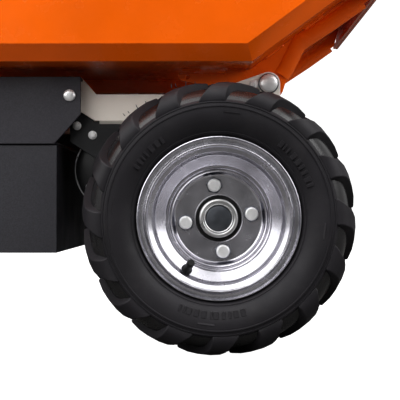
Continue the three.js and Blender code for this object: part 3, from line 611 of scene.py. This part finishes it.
# The casing's skin as (radius, out) from the bead to the middle of the tread.
CASING = [
    (79.5, 41.0), (84.0, 45.2), (90.0, 46.6), (97.4, 47.2), (98.6, 49.5), (101.5, 52.6), (102.6, 52.6),
    (103.4, 53.8), (105.0, 55.2), (110.0, 58.4), (116.0, 60.8), (121.0, 61.9), (126.0, 62.4), (129.8, 62.2),
    (130.4, 63.1), (131.6, 63.1), (132.2, 61.8), (134.9, 61.2), (135.5, 62.0), (136.7, 61.8), (137.3, 60.2),
    (139.4, 58.2), (143.0, 55.6), (147.4, 51.0), (151.0, 44.6), (153.4, 37.0), (155.0, 27.0),
    (156.0, 14.0), (156.2, 4.0),
]


def wheel_point(side, radius, angle, out):
    """A point on a drive wheel, with the angle counted up from forward and out from its middle plane."""
    return Vector((AXLE_X + radius * MM * math.cos(angle), side * (WHEEL_Y + out * MM),
                   AXLE_Z + radius * MM * math.sin(angle)))


def add_lug(bm, side, flank, angle):
    """One tread bar. flank is +1 for the outer half of the tyre and -1 for the inner one."""
    rows = []
    for out, top_r, root_r, root_out, top_half, root_half, lead in LUG_ROWS:
        middle = angle - math.radians(lead)
        corners = [(root_r, root_out, -root_half), (top_r, out, -top_half), (top_r, out, top_half),
                   (root_r, root_out, root_half)]
        rows.append([wheel_point(side, min(r, TYRE_R), middle + half / r, flank * o)
                     for r, o, half in corners])
    add_loft(bm, rows)


def add_mark(bm, side, flank, angle, low, high, width, out, proud):
    """A raised block on the sidewall. Angle and width in radians, radii and heights in millimetres."""
    rows = []
    for radius, base in ((low, out), (high, out + 1.6)):
        for half in (-width / 2, width / 2):
            rows.append((radius, base, angle + half))
    ring = [rows[0], rows[1], rows[3], rows[2]]
    lower = [wheel_point(side, r, a, flank * (o - 2.0)) for r, o, a in ring]
    upper = [wheel_point(side, r, a, flank * (o + proud)) for r, o, a in ring]
    add_loft(bm, [lower, upper])


def add_hair(bm, side, out, angle, rng):
    """A moulding whisker that stands on a tread bar."""
    length = 2.2 + 2.6 * rng.random()
    lean = 0.02 * (rng.random() - 0.5)
    base = wheel_point(side, TYRE_R - 1.0, angle, out)
    tip = wheel_point(side, TYRE_R + length, angle + lean, out + 1.2 * (rng.random() - 0.5))
    height = (tip - base).length / MM
    add_turned(bm, [(0, 0), (0.5, 0), (0.42, height * 0.7), (0, height)], axis_frame(base, tip - base), 6)


def casing_mesh(bm, side):
    """The casing as a closed turned skin, with its inner lining."""
    outer = mirrored(CASING)
    lining = mirrored([(81.5, -36.0), (112.0, -55.0), (132.0, -52.0), (136.0, -30.0)])
    origin = (AXLE_X, side * WHEEL_Y, AXLE_Z)
    add_turned(bm, outer + lining, axis_frame(origin, (0, side, 0)), 192)


def make_tyre(word, side):
    rng = random.Random(11)
    node = f"tyre_{word}"
    bm = bmesh.new()
    for flank in (1, -1):
        shift = 0 if flank > 0 else 0.5
        for i in range(PITCHES):
            add_lug(bm, side, flank, FIRST_LUG + PITCH * (i + shift))
    bars = add_piece(f"tread_bars_{word}", mesh_from(bm, "bars", 50), BODY_OF[node], "tyre_rubber")
    round_edges(bars, 1.5, 2, 24)

    bm = bmesh.new()
    casing_mesh(bm, side)
    casing = add_piece(f"tyre_casing_{word}", mesh_from(bm, "casing", 40), BODY_OF[node], "tyre_rubber",
                       [node])
    casing.data.materials.append(MATERIALS["tread_floor"])
    axle = Vector((AXLE_X, 0, AXLE_Z))
    for face in casing.data.polygons:
        spot = Vector((face.center.x, 0, face.center.z))
        face.material_index = int((spot - axle).length > TREAD_FLOOR_R * MM)

    bm = bmesh.new()
    for flank in (1, -1):
        for start, count in ((0.35, 9), (2.2, 7), (4.3, 11)):
            angle = start
            for _ in range(count):
                width = rng.choice((0.022, 0.035, 0.05))
                add_mark(bm, side, flank, angle, 108.5, 117.0, width, 57.6, 2.4)
                angle += width + 0.028
        for i in range(4):
            add_mark(bm, side, flank, 1.45 + i * math.pi / 2, 121.5, 125.0, 0.16, 60.4, 1.1)
    marks = add_piece(f"sidewall_marks_{word}", mesh_from(bm, "marks", 30), BODY_OF[node], "tyre_rubber")
    round_edges(marks, 0.4, 1, 40)

    bm = bmesh.new()
    for i in range(5, 8):
        angle = FIRST_LUG + PITCH * i
        for out, lead in ((6, 16), (20, 12), (34, 8), (44, 6)):
            add_hair(bm, side, out, angle - math.radians(lead), rng)
    add_piece(f"moulding_whiskers_{word}", mesh_from(bm, "whiskers"), BODY_OF[node], "tyre_rubber")


# The rim's section as (radius, out): the outer flange's lip, the dish and the disc, the inner half
# of the barrel with its flange, then back along the side the tyre sits on.
RIM_PROFILE = [
    (96.4, 49.2), (96.8, 50.4), (96.4, 51.6), (95.6, 51.9), (94.8, 50.8), (94.0, 49.7), (92.0, 49.3),
    (89.0, 49.6), (87.8, 50.8), (86.6, 51.6), (85.4, 51.4), (84.2, 50.2), (83.0, 48.8), (79.0, 46.6),
    (77.6, 44.6), (77.2, 40.0), (76.9, 27.0), (76.4, 25.6), (75.2, 24.4), (64.8, 16.8), (63.7, 15.8),
    (62.8, 14.4), (61.6, 14.0), (60.4, 14.6), (59.2, 13.6), (58.2, 11.6), (57.2, 11.2), (56.0, 11.5),
    (55.0, 10.2), (54.0, 8.0), (52.8, 7.1), (51.0, 7.0), (30.0, 7.0), (28.2, 6.8), (27.5, 6.2),
    (27.5, 3.0), (58.0, 3.0), (62.8, 1.0), (66.0, -2.0), (77.0, -6.0), (77.2, -40.0), (80.0, -45.0),
    (84.0, -50.6), (90.0, -49.6), (95.0, -52.0), (96.6, -51.0), (96.0, -49.0), (84.0, -48.0),
    (80.0, -42.0), (79.6, -4.0), (67.4, 14.0), (79.6, 27.0), (80.4, 40.0), (84.5, 47.5), (93.0, 48.4),
]
CAP_PROFILE = [
    (0, 7.2), (23.4, 7.2), (23.5, 15.0), (22.8, 17.2), (21.6, 18.0), (19.4, 18.0), (18.4, 17.4),
    (17.8, 16.2), (17.4, 17.6), (16.8, 18.0), (16.1, 17.6), (15.7, 14.0), (0, 14.0),
]


def make_wheel(word, side):
    make_tyre(word, side)
    out = Vector((0, side, 0))
    middle = (AXLE_X, side * WHEEL_Y, AXLE_Z)
    body = BODY_OF[f"rim_{word}"]
    dark_and_shade, bright_and_highlight = MATERIALS["dark_zinc_and_shade"], MATERIALS["bright_zinc_and_highlight"]
    turned_again(f"rim_{word}", RIM_PROFILE, middle, out, 160, MATERIALS["rim_zinc"])
    turned_again(f"hub_cap_{word}", CAP_PROFILE, middle, out, 96)
    plug = [(0, 13.8), (15.6, 13.8), (15.6, 16.0), (15.0, 16.7), (11.0, 16.9), (0, 16.9)]
    turned_piece(f"hub_plug_{word}", plug, middle, out, body, "zinc_plate", material=dark_and_shade)
    # A black ring fills the gap between the hub cap and the disc, as painted shadow of that gap.
    gap_shadow = [(23.6, 5.0), (27.3, 5.0), (27.3, 7.0), (26.6, 7.7), (25.2, 7.9), (23.6, 7.9)]
    turned_piece(f"hub_gap_shadow_{word}", gap_shadow, middle, out, body, "grip_rubber", 96)

    hub = [
        (0, -226.0), (15.6, -226.0), (15.6, -15.0), (24.0, -15.6), (30.0, -14.4), (33.0, -9.0),
        (53.2, -6.8), (54.0, -6.0), (54.0, 1.4), (53.2, 2.7), (25.0, 2.7), (24.6, 6.6), (0, 6.6),
    ]
    turned_again(f"hub_{word}", hub, middle, out, 96)

    # The nuts' hex seats are painted dark as the shadow round each head, and the heads take the lightened
    # zinc as a painted highlight.
    shade_seats, heads = bmesh.new(), bmesh.new()
    for i in range(4):
        angle = math.radians(FIRST_NUT + 90 * i)
        matrix = axis_frame(wheel_point(side, NUT_CIRCLE_R, angle, DISC_OUT), out)
        add_turned(shade_seats, [(0, -0.2), (10.2, -0.2), (10.2, 4.2), (9.4, 5.0), (0, 5.0)], matrix, 6,
                   phase=angle + 0.2)
        head = [(0, 4.8), (6.4, 4.8), (6.4, 6.2), (7.8, 6.6), (8.1, 8.6), (7.6, 10.0), (6.8, 10.7)]
        head += [(6.4 - 0.4 * k, 10.9 + 0.16 * (k % 2)) for k in range(15)] + [(0, 11.1)]
        add_turned(heads, head, matrix, 48)
    nuts = add_piece(f"wheel_nut_shade_seats_{word}", mesh_from(shade_seats, "shade_seats", 28), body, "zinc_plate",
                     material=dark_and_shade)
    round_edges(nuts, 0.5, 2, 35)
    add_piece(f"wheel_nuts_{word}", mesh_from(heads, "heads", 60), body, "zinc_plate", material=bright_and_highlight)

    base = wheel_point(side, 72.5, VALVE_ANGLE, 21.0)
    tip = wheel_point(side, 61.0, VALVE_ANGLE, 43.0)
    length = (tip - base).length / MM
    stem = [(0, -1), (6.6, -1), (6.6, 2.5), (5.0, 4.5), (4.3, length * 0.62), (4.6, length * 0.66),
            (4.6, length - 1.4), (3.7, length), (0, length)]
    turned_piece(f"valve_stem_{word}", stem, base, tip - base, body, "grip_rubber", 32)


for word, side in SIDES.items():
    make_wheel(word, side)


# ---- tray

SLOPE = 0.737  # rise of the tray's front over its run
RAIL_FACE = abs(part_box("chassis_rail_right")[0].y) / MM
TRAY_LOW, TRAY_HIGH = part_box("tray_pan")
FLOOR_Z, FLOOR_FRONT = 356, 41
RIB_Y, RIB_HALF = 70, 12
BRACKET_SIDES = (197.6, 203.4)  # just off the hinge bracket's two faces
BRACKET_EDGE = [(81, 348), (87, 357), (102, 388), (146, 417), (184, 444)]  # x and z
WELD_SINK = 0.8  # how far a bead's middle lies below the plate's face
HEM_R = 2.6


def hem_points():
    """The path of the rolled hem under the rim's turned-down edge: right side, rear, left side."""
    reach = TRAY_HIGH.y / MM - 0.4 - HEM_R
    low = TRAY_HIGH.z / MM - 12 + 0.5
    rear = (TRAY_LOW.x - AXLE_X) / MM + 0.4 + HEM_R
    front = 139
    return [at(front, -reach, low), at(rear, -reach, low), at(rear, reach, low), at(front, reach, low)]


def make_tray():
    refined("tray_pan", 1.0)
    bm = bmesh.new()
    add_sweep(bm, smooth_path(hem_points(), 6 * MM, 6), HEM_R * MM, 12)
    add_piece("tray_rim_hem", mesh_from(bm, "hem"), "tray", "orange_paint")
    lines = []
    for y in (-RIB_Y, RIB_Y):
        for edge in (-RIB_HALF, RIB_HALF):
            for x in range(-480, 0, 96):
                lines.append((at(x, y + edge, FLOOR_Z - WELD_SINK),
                              at(x + 34, y + edge, FLOOR_Z - WELD_SINK)))
    for side in SIDES.values():
        for y in BRACKET_SIDES:
            for x in (-46, 12):
                lines.append((at(x, side * y, FLOOR_Z - WELD_SINK),
                              at(x + 24, side * y, FLOOR_Z - WELD_SINK)))
            for x in (60, 110, 160):
                lines.append([at(end, side * y, FLOOR_Z + SLOPE * (end - FLOOR_FRONT) - WELD_SINK)
                              for end in (x, x + 24)])
    for y in (-16.4, 16.4):
        lines.append((at(-562.0, y, 376), at(-563.6, y, 392)))
    welds_piece("tray_welds", "tray", "orange_paint", lines, 2.0)
    for word, side in SIDES.items():
        refined(f"hinge_bracket_{word}", 0.8)
        bm = bmesh.new()
        edge = [at(x, side * 201, z) for x, z in BRACKET_EDGE]
        add_sweep(bm, smooth_path(edge, 16 * MM, 6), 4.4 * MM, 28, 2.5)
        add_piece(f"bracket_edge_{word}", mesh_from(bm, "edge", 60), "tray", "orange_paint")
    bm = bmesh.new()
    section = [(200.4, 450.3), (205.2, 450.3), (205.2, 458.4), (200.4, 457.6)]
    add_prism(bm, section, -280.6, 280.6, lambda x, z, depth: at(x, depth, z))
    hem = add_piece("lip_hem", mesh_from(bm, "lip"), "tray", "orange_paint")
    round_edges(hem, 1.3, 3)


# ---- chassis

PIVOT = (64.4, 336.6)  # x and z of the tray's hinge
RAIL_LOW = 289
RAIL_INSIDE = 4.3  # from the rail's outer face to the parts bolted to its inner one


def make_chassis():
    for node, bevel in (("chassis_rail", 0.9), ("side_cover", 1.1), ("drive_bracket", 0.8),
                        ("caster_plate", 0.9)):
        for word in SIDES:
            refined(f"{node}_{word}", bevel)
    for node in ("front_cross_member", "mid_cross_member", "caster_beam"):
        refined(node, 1.4)
    refined("tray_rest_pad", 2.0)
    refined("battery_box", 1.2, material=MATERIALS["box_paint"])
    refined("battery_box_lid", 1.0, material=MATERIALS["box_paint"])
    refined("motor_controller", 0.8)
    for word, side in SIDES.items():
        refined(f"battery_{word}", 2.4)
        out = Vector((0, side, 0))
        cover_face = max(abs(corner.y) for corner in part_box(f"side_cover_{word}")) / MM
        rows = [(at(x, side * cover_face, z), out, 7.6, True)
                for x, z in ((-187, 319), (-424, 326), (-424, 272))]
        rows += [(at(x, side * (RAIL_FACE - RAIL_INSIDE), z), out, 4.6, False)
                 for x, z in ((-181, 283), (-161, 271))]
        rows += [(at(x, side * RAIL_FACE, z), out, 5.2, False)
                 for x, z in ((-48, 306), (-30, 306), (46, 335))]
        rows += [(at(x, side * RAIL_FACE, 318), out, 6.4, False) for x in (-500, -560, -672)]
        bolts_piece(f"chassis_bolts_{word}", rows)
        # The pivot bolt takes the lightened zinc as a painted highlight.
        dark_and_shade, bright_and_highlight = MATERIALS["dark_zinc_and_shade"], MATERIALS["bright_zinc_and_highlight"]
        pin = [(0, -8), (10.8, -8), (11, -7.4), (11, -0.2), (7, 0), (7, 12.6), (11.4, 12.6), (11.6, 13.4),
               (11.5, 17.6), (10.9, 18.6), (9.4, 19.4), (6.2, 20.1), (3.2, 20.5), (0, 20.6)]
        origin = at(PIVOT[0], side * BRACKET_SIDES[0], PIVOT[1])
        turned_again(f"pivot_bolt_{word}", pin, origin, out, 64, bright_and_highlight)
        washer = [(7.2, 12.7), (13.0, 12.7), (13.0, 14.2), (12.4, 14.6), (7.2, 14.6)]
        turned_piece(f"pivot_washer_{word}", washer, origin, out, "chassis", "zinc_plate", material=dark_and_shade)
        bm = bmesh.new()
        outer, inner = RAIL_FACE - 0.3, RAIL_FACE - 3.9
        strip = [(outer, RAIL_LOW + 0.6), (outer, RAIL_LOW - 0.2), (inner, RAIL_LOW - 3.8),
                 (inner, RAIL_LOW + 0.6)]
        add_prism(bm, strip, -152, 40, lambda y, z, depth: at(depth, side * y, z))
        add_piece(f"rail_lower_edge_{word}", mesh_from(bm, "edge"), "chassis", "cream_paint")
    lines = []
    for side in SIDES.values():
        for x in (-60.4, -19.6):
            lines.append((at(x, side * 205.4, 296), at(x, side * 205.4, 319)))
        for x in (-652.4, -587.6):
            lines.append((at(x, side * 208, 299.6), at(x, side * 190, 299.6)))
        lines.append((at(-646, side * 210.6, 300.4), at(-594, side * 210.6, 300.4)))
    welds_piece("chassis_welds", "chassis", "cream_paint", lines, 2.4)


# ---- drive unit

CASE_R, PINION_CASE_R = 70, 45
BOLT_RING = 4.6  # from a case's edge out to its bolts
AXLE_HEIGHT = 165
MOTOR_AT = (-135, 228)


def belt_places(radius_a, radius_b, count):
    """Evenly spaced places on the outline that wraps the axle's and the motor's ends of the case."""
    bx, bz = MOTOR_AT[0], MOTOR_AT[1] - AXLE_HEIGHT
    span = math.hypot(bx, bz)
    heading = math.atan2(bz, bx)
    spread = math.acos((radius_a - radius_b) / span)
    points = []
    for k in range(121):
        turn = heading + spread + (2 * math.pi - 2 * spread) * k / 120
        points.append((radius_a * math.cos(turn), AXLE_HEIGHT + radius_a * math.sin(turn)))
    for k in range(61):
        turn = heading - spread + 2 * spread * k / 60
        points.append((bx + radius_b * math.cos(turn), AXLE_HEIGHT + bz + radius_b * math.sin(turn)))
    points.append(points[0])
    lengths = [0.0]
    for (x0, z0), (x1, z1) in zip(points, points[1:]):
        lengths.append(lengths[-1] + math.hypot(x1 - x0, z1 - z0))
    places = []
    for k in range(count):
        want = lengths[-1] * (k + 0.5) / count
        i = next(i for i, reached in enumerate(lengths) if reached >= want)
        share = (want - lengths[i - 1]) / (lengths[i] - lengths[i - 1])
        (x0, z0), (x1, z1) = points[i - 1], points[i]
        places.append((x0 + (x1 - x0) * share, z0 + (z1 - z0) * share))
    return places


def make_drive():
    for word, side in SIDES.items():
        refined(f"gearbox_case_{word}", 1.6, segments=3)
        out = Vector((0, side, 0))
        ring = belt_places(CASE_R + BOLT_RING, PINION_CASE_R + BOLT_RING, 14)
        rows = [(at(x, side * 9, z), out, 3.4, False) for x, z in ring]
        bolts_piece(f"case_bolts_{word}", rows)
        tube = [(16.4, 70.5), (33, 70.5), (33.4, 71.4), (33.4, 75.4), (32.6, 76.2), (27.0, 76.6),
                (25.0, 79.0), (24.0, 84.0), (24.0, 258.4), (23.2, 261.2), (22.2, 262), (16.4, 262)]
        turned_again(f"axle_tube_{word}", tube, at(0, 0, AXLE_HEIGHT), out, 72)
        rows = [(at(29 * math.cos(a), side * 76.0, AXLE_HEIGHT + 29 * math.sin(a)), out, 3.0, True)
                for a in (k * math.pi / 3 + 0.4 for k in range(6))]
        bolts_piece(f"axle_flange_bolts_{word}", rows)
    low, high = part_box("drive_motor")
    start, end = -high.y / MM, -low.y / MM
    motor = [(0, start), (53.4, start), (54.6, start + 1.2), (54.6, start + 12), (53.2, start + 13),
             (53.2, start + 14.2), (54.8, start + 15.2)]
    for k in range(9):
        y = start + 20 + k * 6
        motor += [(54.8, y), (54.8, y + 3.4), (52.6, y + 4.0), (52.6, y + 5.4)]
    motor += [(54.8, start + 76), (54.8, end - 22), (52.0, end - 21.4), (52.0, end - 9), (50.4, end - 5.4),
              (44.0, end - 3.2), (22.0, end - 2.6), (20.6, end - 0.8), (19.0, end), (0, end)]
    origin = at(MOTOR_AT[0], 0, MOTOR_AT[1])
    out = Vector((0, -1, 0))
    turned_again("drive_motor", motor, origin, out, 96)
    turns = [k * math.pi / 2 + 0.6 for k in range(4)]
    places = [at(MOTOR_AT[0] + 41 * math.cos(a), 4 - end, MOTOR_AT[1] + 41 * math.sin(a)) for a in turns]
    rows = [(place, out, 4.0, False) for place in places]
    bolts_piece("motor_bolts", rows)
    band = [(52.0, end - 20.6), (53.6, end - 20.4), (54.0, end - 19.8), (54.0, end - 10.4),
            (53.6, end - 9.8), (52.0, end - 9.6)]
    turned_piece("brush_cover_band", band, origin, out, "chassis", "zinc_plate", 96)


# ---- casters

def make_casters():
    for word, side in SIDES.items():
        fork = BODY_OF[f"caster_fork_{word}"]
        refined(f"caster_fork_{word}", 0.8)
        axle = centre_of(f"caster_axle_{word}")
        out = Vector((0, side, 0))
        bar = [(0, -44), (5.2, -44), (6.0, -43.2), (6.0, 40), (0, 40)]
        washer = [(0, 38.2), (10.6, 38.2), (10.8, 39.4), (0, 39.4)]
        head = [(0, 39.2), (8.4, 39.2), (8.8, 40), (8.8, 43.6), (7.6, 44.4), (0, 44.4)]
        bm = bmesh.new()
        add_turned(bm, bar, axis_frame(axle, out), 32)
        for profile, count in ((washer, 40), (head, 6)):
            for direction in (out, -out):
                add_turned(bm, profile, axis_frame(axle, direction), count)
        piece = add_piece(f"caster_axle_{word}_fine", mesh_from(bm, "axle", 28), fork, "zinc_plate",
                          [f"caster_axle_{word}"])
        round_edges(piece, 0.4)
        core = [(6.4, 33.2), (13.6, 33.2), (14.2, 32.4), (18.0, 32.0), (18.6, 28), (21, 18), (30, 13.6),
                (58, 14.4), (62, 18.4), (66, 21.8), (71.6, 22), (72, 21.2)]
        turned_again(f"caster_wheel_{word}", mirrored(core), axle, out, 96)
        tread = [(72.3, 26.0), (74.0, 26.9), (84, 27), (87, 26.2), (88, 25.2), (89, 26.2), (94, 26.2),
                 (99.0, 23.6), (102.6, 19.0), (104.4, 12), (104.9, 5.0), (104.9, 1.2), (104.5, 0.6),
                 (104.5, 0)]
        tread = tread + [(r, -y) for r, y in reversed(tread[:-1])]
        turned_again(f"caster_tyre_{word}", tread, axle, out, 120)
        plate_low, plate_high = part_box(f"caster_plate_{word}")
        middle = (plate_low + plate_high) / 2
        corners = [(middle.x + dx * MM, middle.y + dy * MM, plate_high.z - 5 * MM)
                   for dx in (-37, 37) for dy in (-30, 30)]
        rows = [(Vector(corner), (0, 0, -1), 5.6, False) for corner in corners]
        bolts_piece(f"caster_bolts_{word}", rows)
        nipple = [(0, -1), (3.4, -1), (3.4, 2), (2.2, 3), (2.2, 4.6), (2.9, 5.4), (2.4, 7.4), (0, 7.8)]
        origin = Vector((middle.x + 29.5 * MM, middle.y, plate_low.z + 3.4 * MM))
        turned_piece(f"grease_nipple_{word}", nipple, origin, (1, 0, 0.1), "chassis", "machined_steel", 24)


# ---- handle and grips

HANDLE_R, HANDLE_BEND_R = 15, 82
HANDLE_Y = RAIL_FACE - RAIL_INSIDE - HANDLE_R
HANDLE_START, HANDLE_BEND = (-470, 321), (-668, 321)
HANDLE_RISE, GRIP_RISE = math.radians(62), math.radians(12)
HANDLE_LEG, GRIP_LEG = 610, 212
CROSSBAR_AT = 520
CONSOLE_TILT = math.radians(25)


def up_the_leg(along):
    return HANDLE_BEND[0] - along * math.cos(HANDLE_RISE), HANDLE_BEND[1] + along * math.sin(HANDLE_RISE)


TOP_X, TOP_Z = up_the_leg(HANDLE_LEG)
GRIP_AHEAD = Vector((math.cos(GRIP_RISE), 0, -math.sin(GRIP_RISE)))


def grip_end(side):
    return at(TOP_X - GRIP_LEG * math.cos(GRIP_RISE), side * HANDLE_Y,
              TOP_Z + GRIP_LEG * math.sin(GRIP_RISE))


def make_handles():
    for word, side in SIDES.items():
        y = side * HANDLE_Y
        corners = [at(x, y, z) for x, z in (HANDLE_START, HANDLE_BEND, (TOP_X, TOP_Z))] + [grip_end(side)]
        bm = bmesh.new()
        add_sweep(bm, smooth_path(corners, HANDLE_BEND_R * MM, 14), HANDLE_R * MM, 32)
        add_piece(f"handle_tube_{word}_fine", mesh_from(bm, "tube"), "chassis", "black_paint",
                  [f"handle_tube_{word}"])
        grip = [(0, -4), (13, -4), (16.6, -3.0), (18.5, -0.6), (18.7, 3)]
        for k in range(20):
            x = 6 + k * 5
            grip += [(17.6, x), (17.4, x + 1.4), (18.6, x + 2.0), (18.7, x + 3.8)]
        grip += [(18.4, 107), (18.6, 111.6), (21.6, 112.6), (22.8, 114.0), (23.0, 116.6), (22.2, 118.0),
                 (15.3, 118.0), (15.3, -0.3), (0, -0.3)]
        turned_again(f"grip_{word}", grip, grip_end(side), GRIP_AHEAD, 72)
    refined("throttle_housing", 1.2, segments=3)
    refined("throttle_lever", 1.2, segments=3)
    x, z = up_the_leg(CROSSBAR_AT)
    reach = HANDLE_Y - HANDLE_R - 0.2
    bar = [(0, -reach), (14.4, -reach), (14.6, -reach + 1.6), (13.0, -reach + 3.2), (12.0, -reach + 4.4)]
    turned_again("handle_crossbar", mirrored(bar), at(x, 0, z), (0, 1, 0), 48)
    inner = HANDLE_Y - HANDLE_R + 0.4
    rows = [(at(x, side * inner, HANDLE_START[1]), (0, -side, 0), 6.0, False)
            for side in SIDES.values() for x in (-500, -560)]
    bolts_piece("handle_bolts", rows)


# ---- console

PANEL_FACE = 54  # height of the console's top over the crossbar
KEY_Y, STOP_Y, ROCKER_Y = -38, -72, 4
GAUGE_START, GAUGE_STEP, GAUGE_BARS = 33, 6, 8
RED, AMBER, GREEN = (0.9, 0.08, 0.02), (0.9, 0.6, 0.02), (0.05, 0.75, 0.1)


def console_matrix():
    x, z = up_the_leg(CROSSBAR_AT)
    return Matrix.Translation(at(x, 0, z)) @ Matrix.Rotation(-CONSOLE_TILT, 4, "Y")


def make_console():
    panel = console_matrix()
    face = PANEL_FACE

    def spot(x, y, z):
        return panel @ Vector((x * MM, y * MM, z * MM))

    up = panel.to_3x3() @ Vector((0, 0, 1))
    refined("console_housing", 2.2, segments=3)
    refined("direction_switch", 1.0, segments=3)
    refined("key_switch", 0.5)
    refined("battery_gauge", 1.2, segments=3)
    bezel = [(9.8, face - 1), (14.4, face - 1), (14.6, face + 0.6), (13.4, face + 2.4), (11.0, face + 2.8),
             (9.8, face + 2.2)]
    turned_piece("key_bezel", bezel, spot(0, KEY_Y, 0), up, "chassis", "machined_steel")
    collar = [(16.5, face - 1), (18.6, face - 1), (18.8, face + 1.0), (18.2, face + 2.6),
              (17.2, face + 2.8), (16.5, face + 2.2)]
    turned_piece("stop_collar", collar, spot(0, STOP_Y, 0), up, "chassis", "zinc_plate")
    stop = [(0, face - 16), (7, face - 16), (7, face + 4.6), (13.6, face + 4.8), (15.6, face + 6),
            (16, face + 8), (15.6, face + 10), (14.4, face + 12), (11.4, face + 14), (7, face + 15.2),
            (0, face + 15.5)]
    turned_again("stop_button", stop, spot(0, STOP_Y, 0), up, 72)

    bm = bmesh.new()
    for sign in (-1, 1):
        tip, tail = sign * 9.4, sign * 4.2
        outline = [(tip, 0), (tail, sign * 3.4), (tail, sign * -3.4)]
        rise = {tip: 56.9, tail: 55.9}
        low = [spot(a, ROCKER_Y + b, rise[a] - 1.2) for a, b in outline]
        high = [spot(a, ROCKER_Y + b, rise[a] + 0.45) for a, b in outline]
        add_loft(bm, [low, high])
    white = plastic("arrow_white", (0.8, 0.8, 0.78), (0.35, 0.45), 0.05)
    add_piece("direction_arrows", mesh_from(bm, "arrows"), "direction_rocker", "red_plastic",
              material=white)

    for k in range(GAUGE_BARS):
        bm = bmesh.new()
        y = GAUGE_START + k * GAUGE_STEP
        outline = [(-7, y - 1.9), (7, y - 1.9), (7, y + 1.9), (-7, y + 1.9)]
        add_prism(bm, outline, face + 1.4, face + 2.35, spot)
        lit = RED if k < 2 else AMBER if k < 4 else GREEN
        glow = glowing(f"gauge_light_{k}", lit, 0.9 if k < GAUGE_BARS - 1 else 0.05)
        bar = add_piece(f"gauge_bar_{k}", mesh_from(bm, "bar"), "chassis", "gauge_lens", material=glow)
        round_edges(bar, 0.35)
    rows = [(spot(x, y, face - 0.1), up, 3.6, True) for x in (-34, 20) for y in (-89, 89)]
    bolts_piece("console_screws", rows)
    bm = bmesh.new()
    turns = [math.pi + math.pi * k / 16 for k in range(17)]
    for y in (-60, 60):
        for sign in (-1, 1):
            add_prism(bm, [(sign * 13, y - 9), (sign * 22, y - 9), (sign * 22, y + 9), (sign * 13, y + 9)],
                      -3, 13.4, spot)
        bow = [spot(16 * math.cos(turn), y, 16 * math.sin(turn)) for turn in turns]
        add_sweep(bm, bow, 3.2 * MM, 16)
    clamp = add_piece("console_clamps", mesh_from(bm, "clamps"), "chassis", "zinc_plate")
    round_edges(clamp, 0.8)


# ---- latch and small fittings

LATCH_TIP, LATCH_BEND = (-742, 440), (-700, 372)


def make_latch():
    refined("latch_bracket", 0.7)
    refined("tray_latch", 0.8)
    tip, bend = at(LATCH_TIP[0], 0, LATCH_TIP[1]), at(LATCH_BEND[0], 0, LATCH_BEND[1])
    knob = [(0, 1.2), (8.6, 1.2), (9.2, 2.4), (10.8, 5.6), (13.6, 9.6), (15.4, 14), (16, 18.4),
            (15.4, 22.4), (13.6, 26), (10.4, 29.2), (6.2, 31.8), (3, 32.8), (0, 33)]
    turned_again("latch_knob", knob, tip, tip - bend, 64)
    rows = [(at(x, y, 304), (0, 0, 1), 5.2, False) for x in (-644, -600) for y in (-17, 17)]
    bolts_piece("latch_bolts", rows)
    socket_low, socket_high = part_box("charging_socket")
    middle = (socket_low + socket_high) / 2
    rear = (socket_high.x - AXLE_X) / MM
    socket = [(0, 0), (15.4, 0), (16, 0.8), (16, 3.4), (15.2, 4.2), (13.4, 4.4), (13, 8.2), (12.2, 9),
              (10, 9), (9.2, 8.2), (8.4, 8.0), (0, 8.0)]
    origin = at(rear, middle.y / MM, middle.z / MM)
    turned_again("charging_socket", socket, origin, (-1, 0, 0), 64)


make_tray()
make_chassis()
make_drive()
make_casters()
make_handles()
make_console()
make_latch()
for node, thing in NODES.items():
    thing.data.materials.clear()
    thing.data.materials.append(MATERIALS[SLOT_OF[node]])


make_camera()
make_studio()
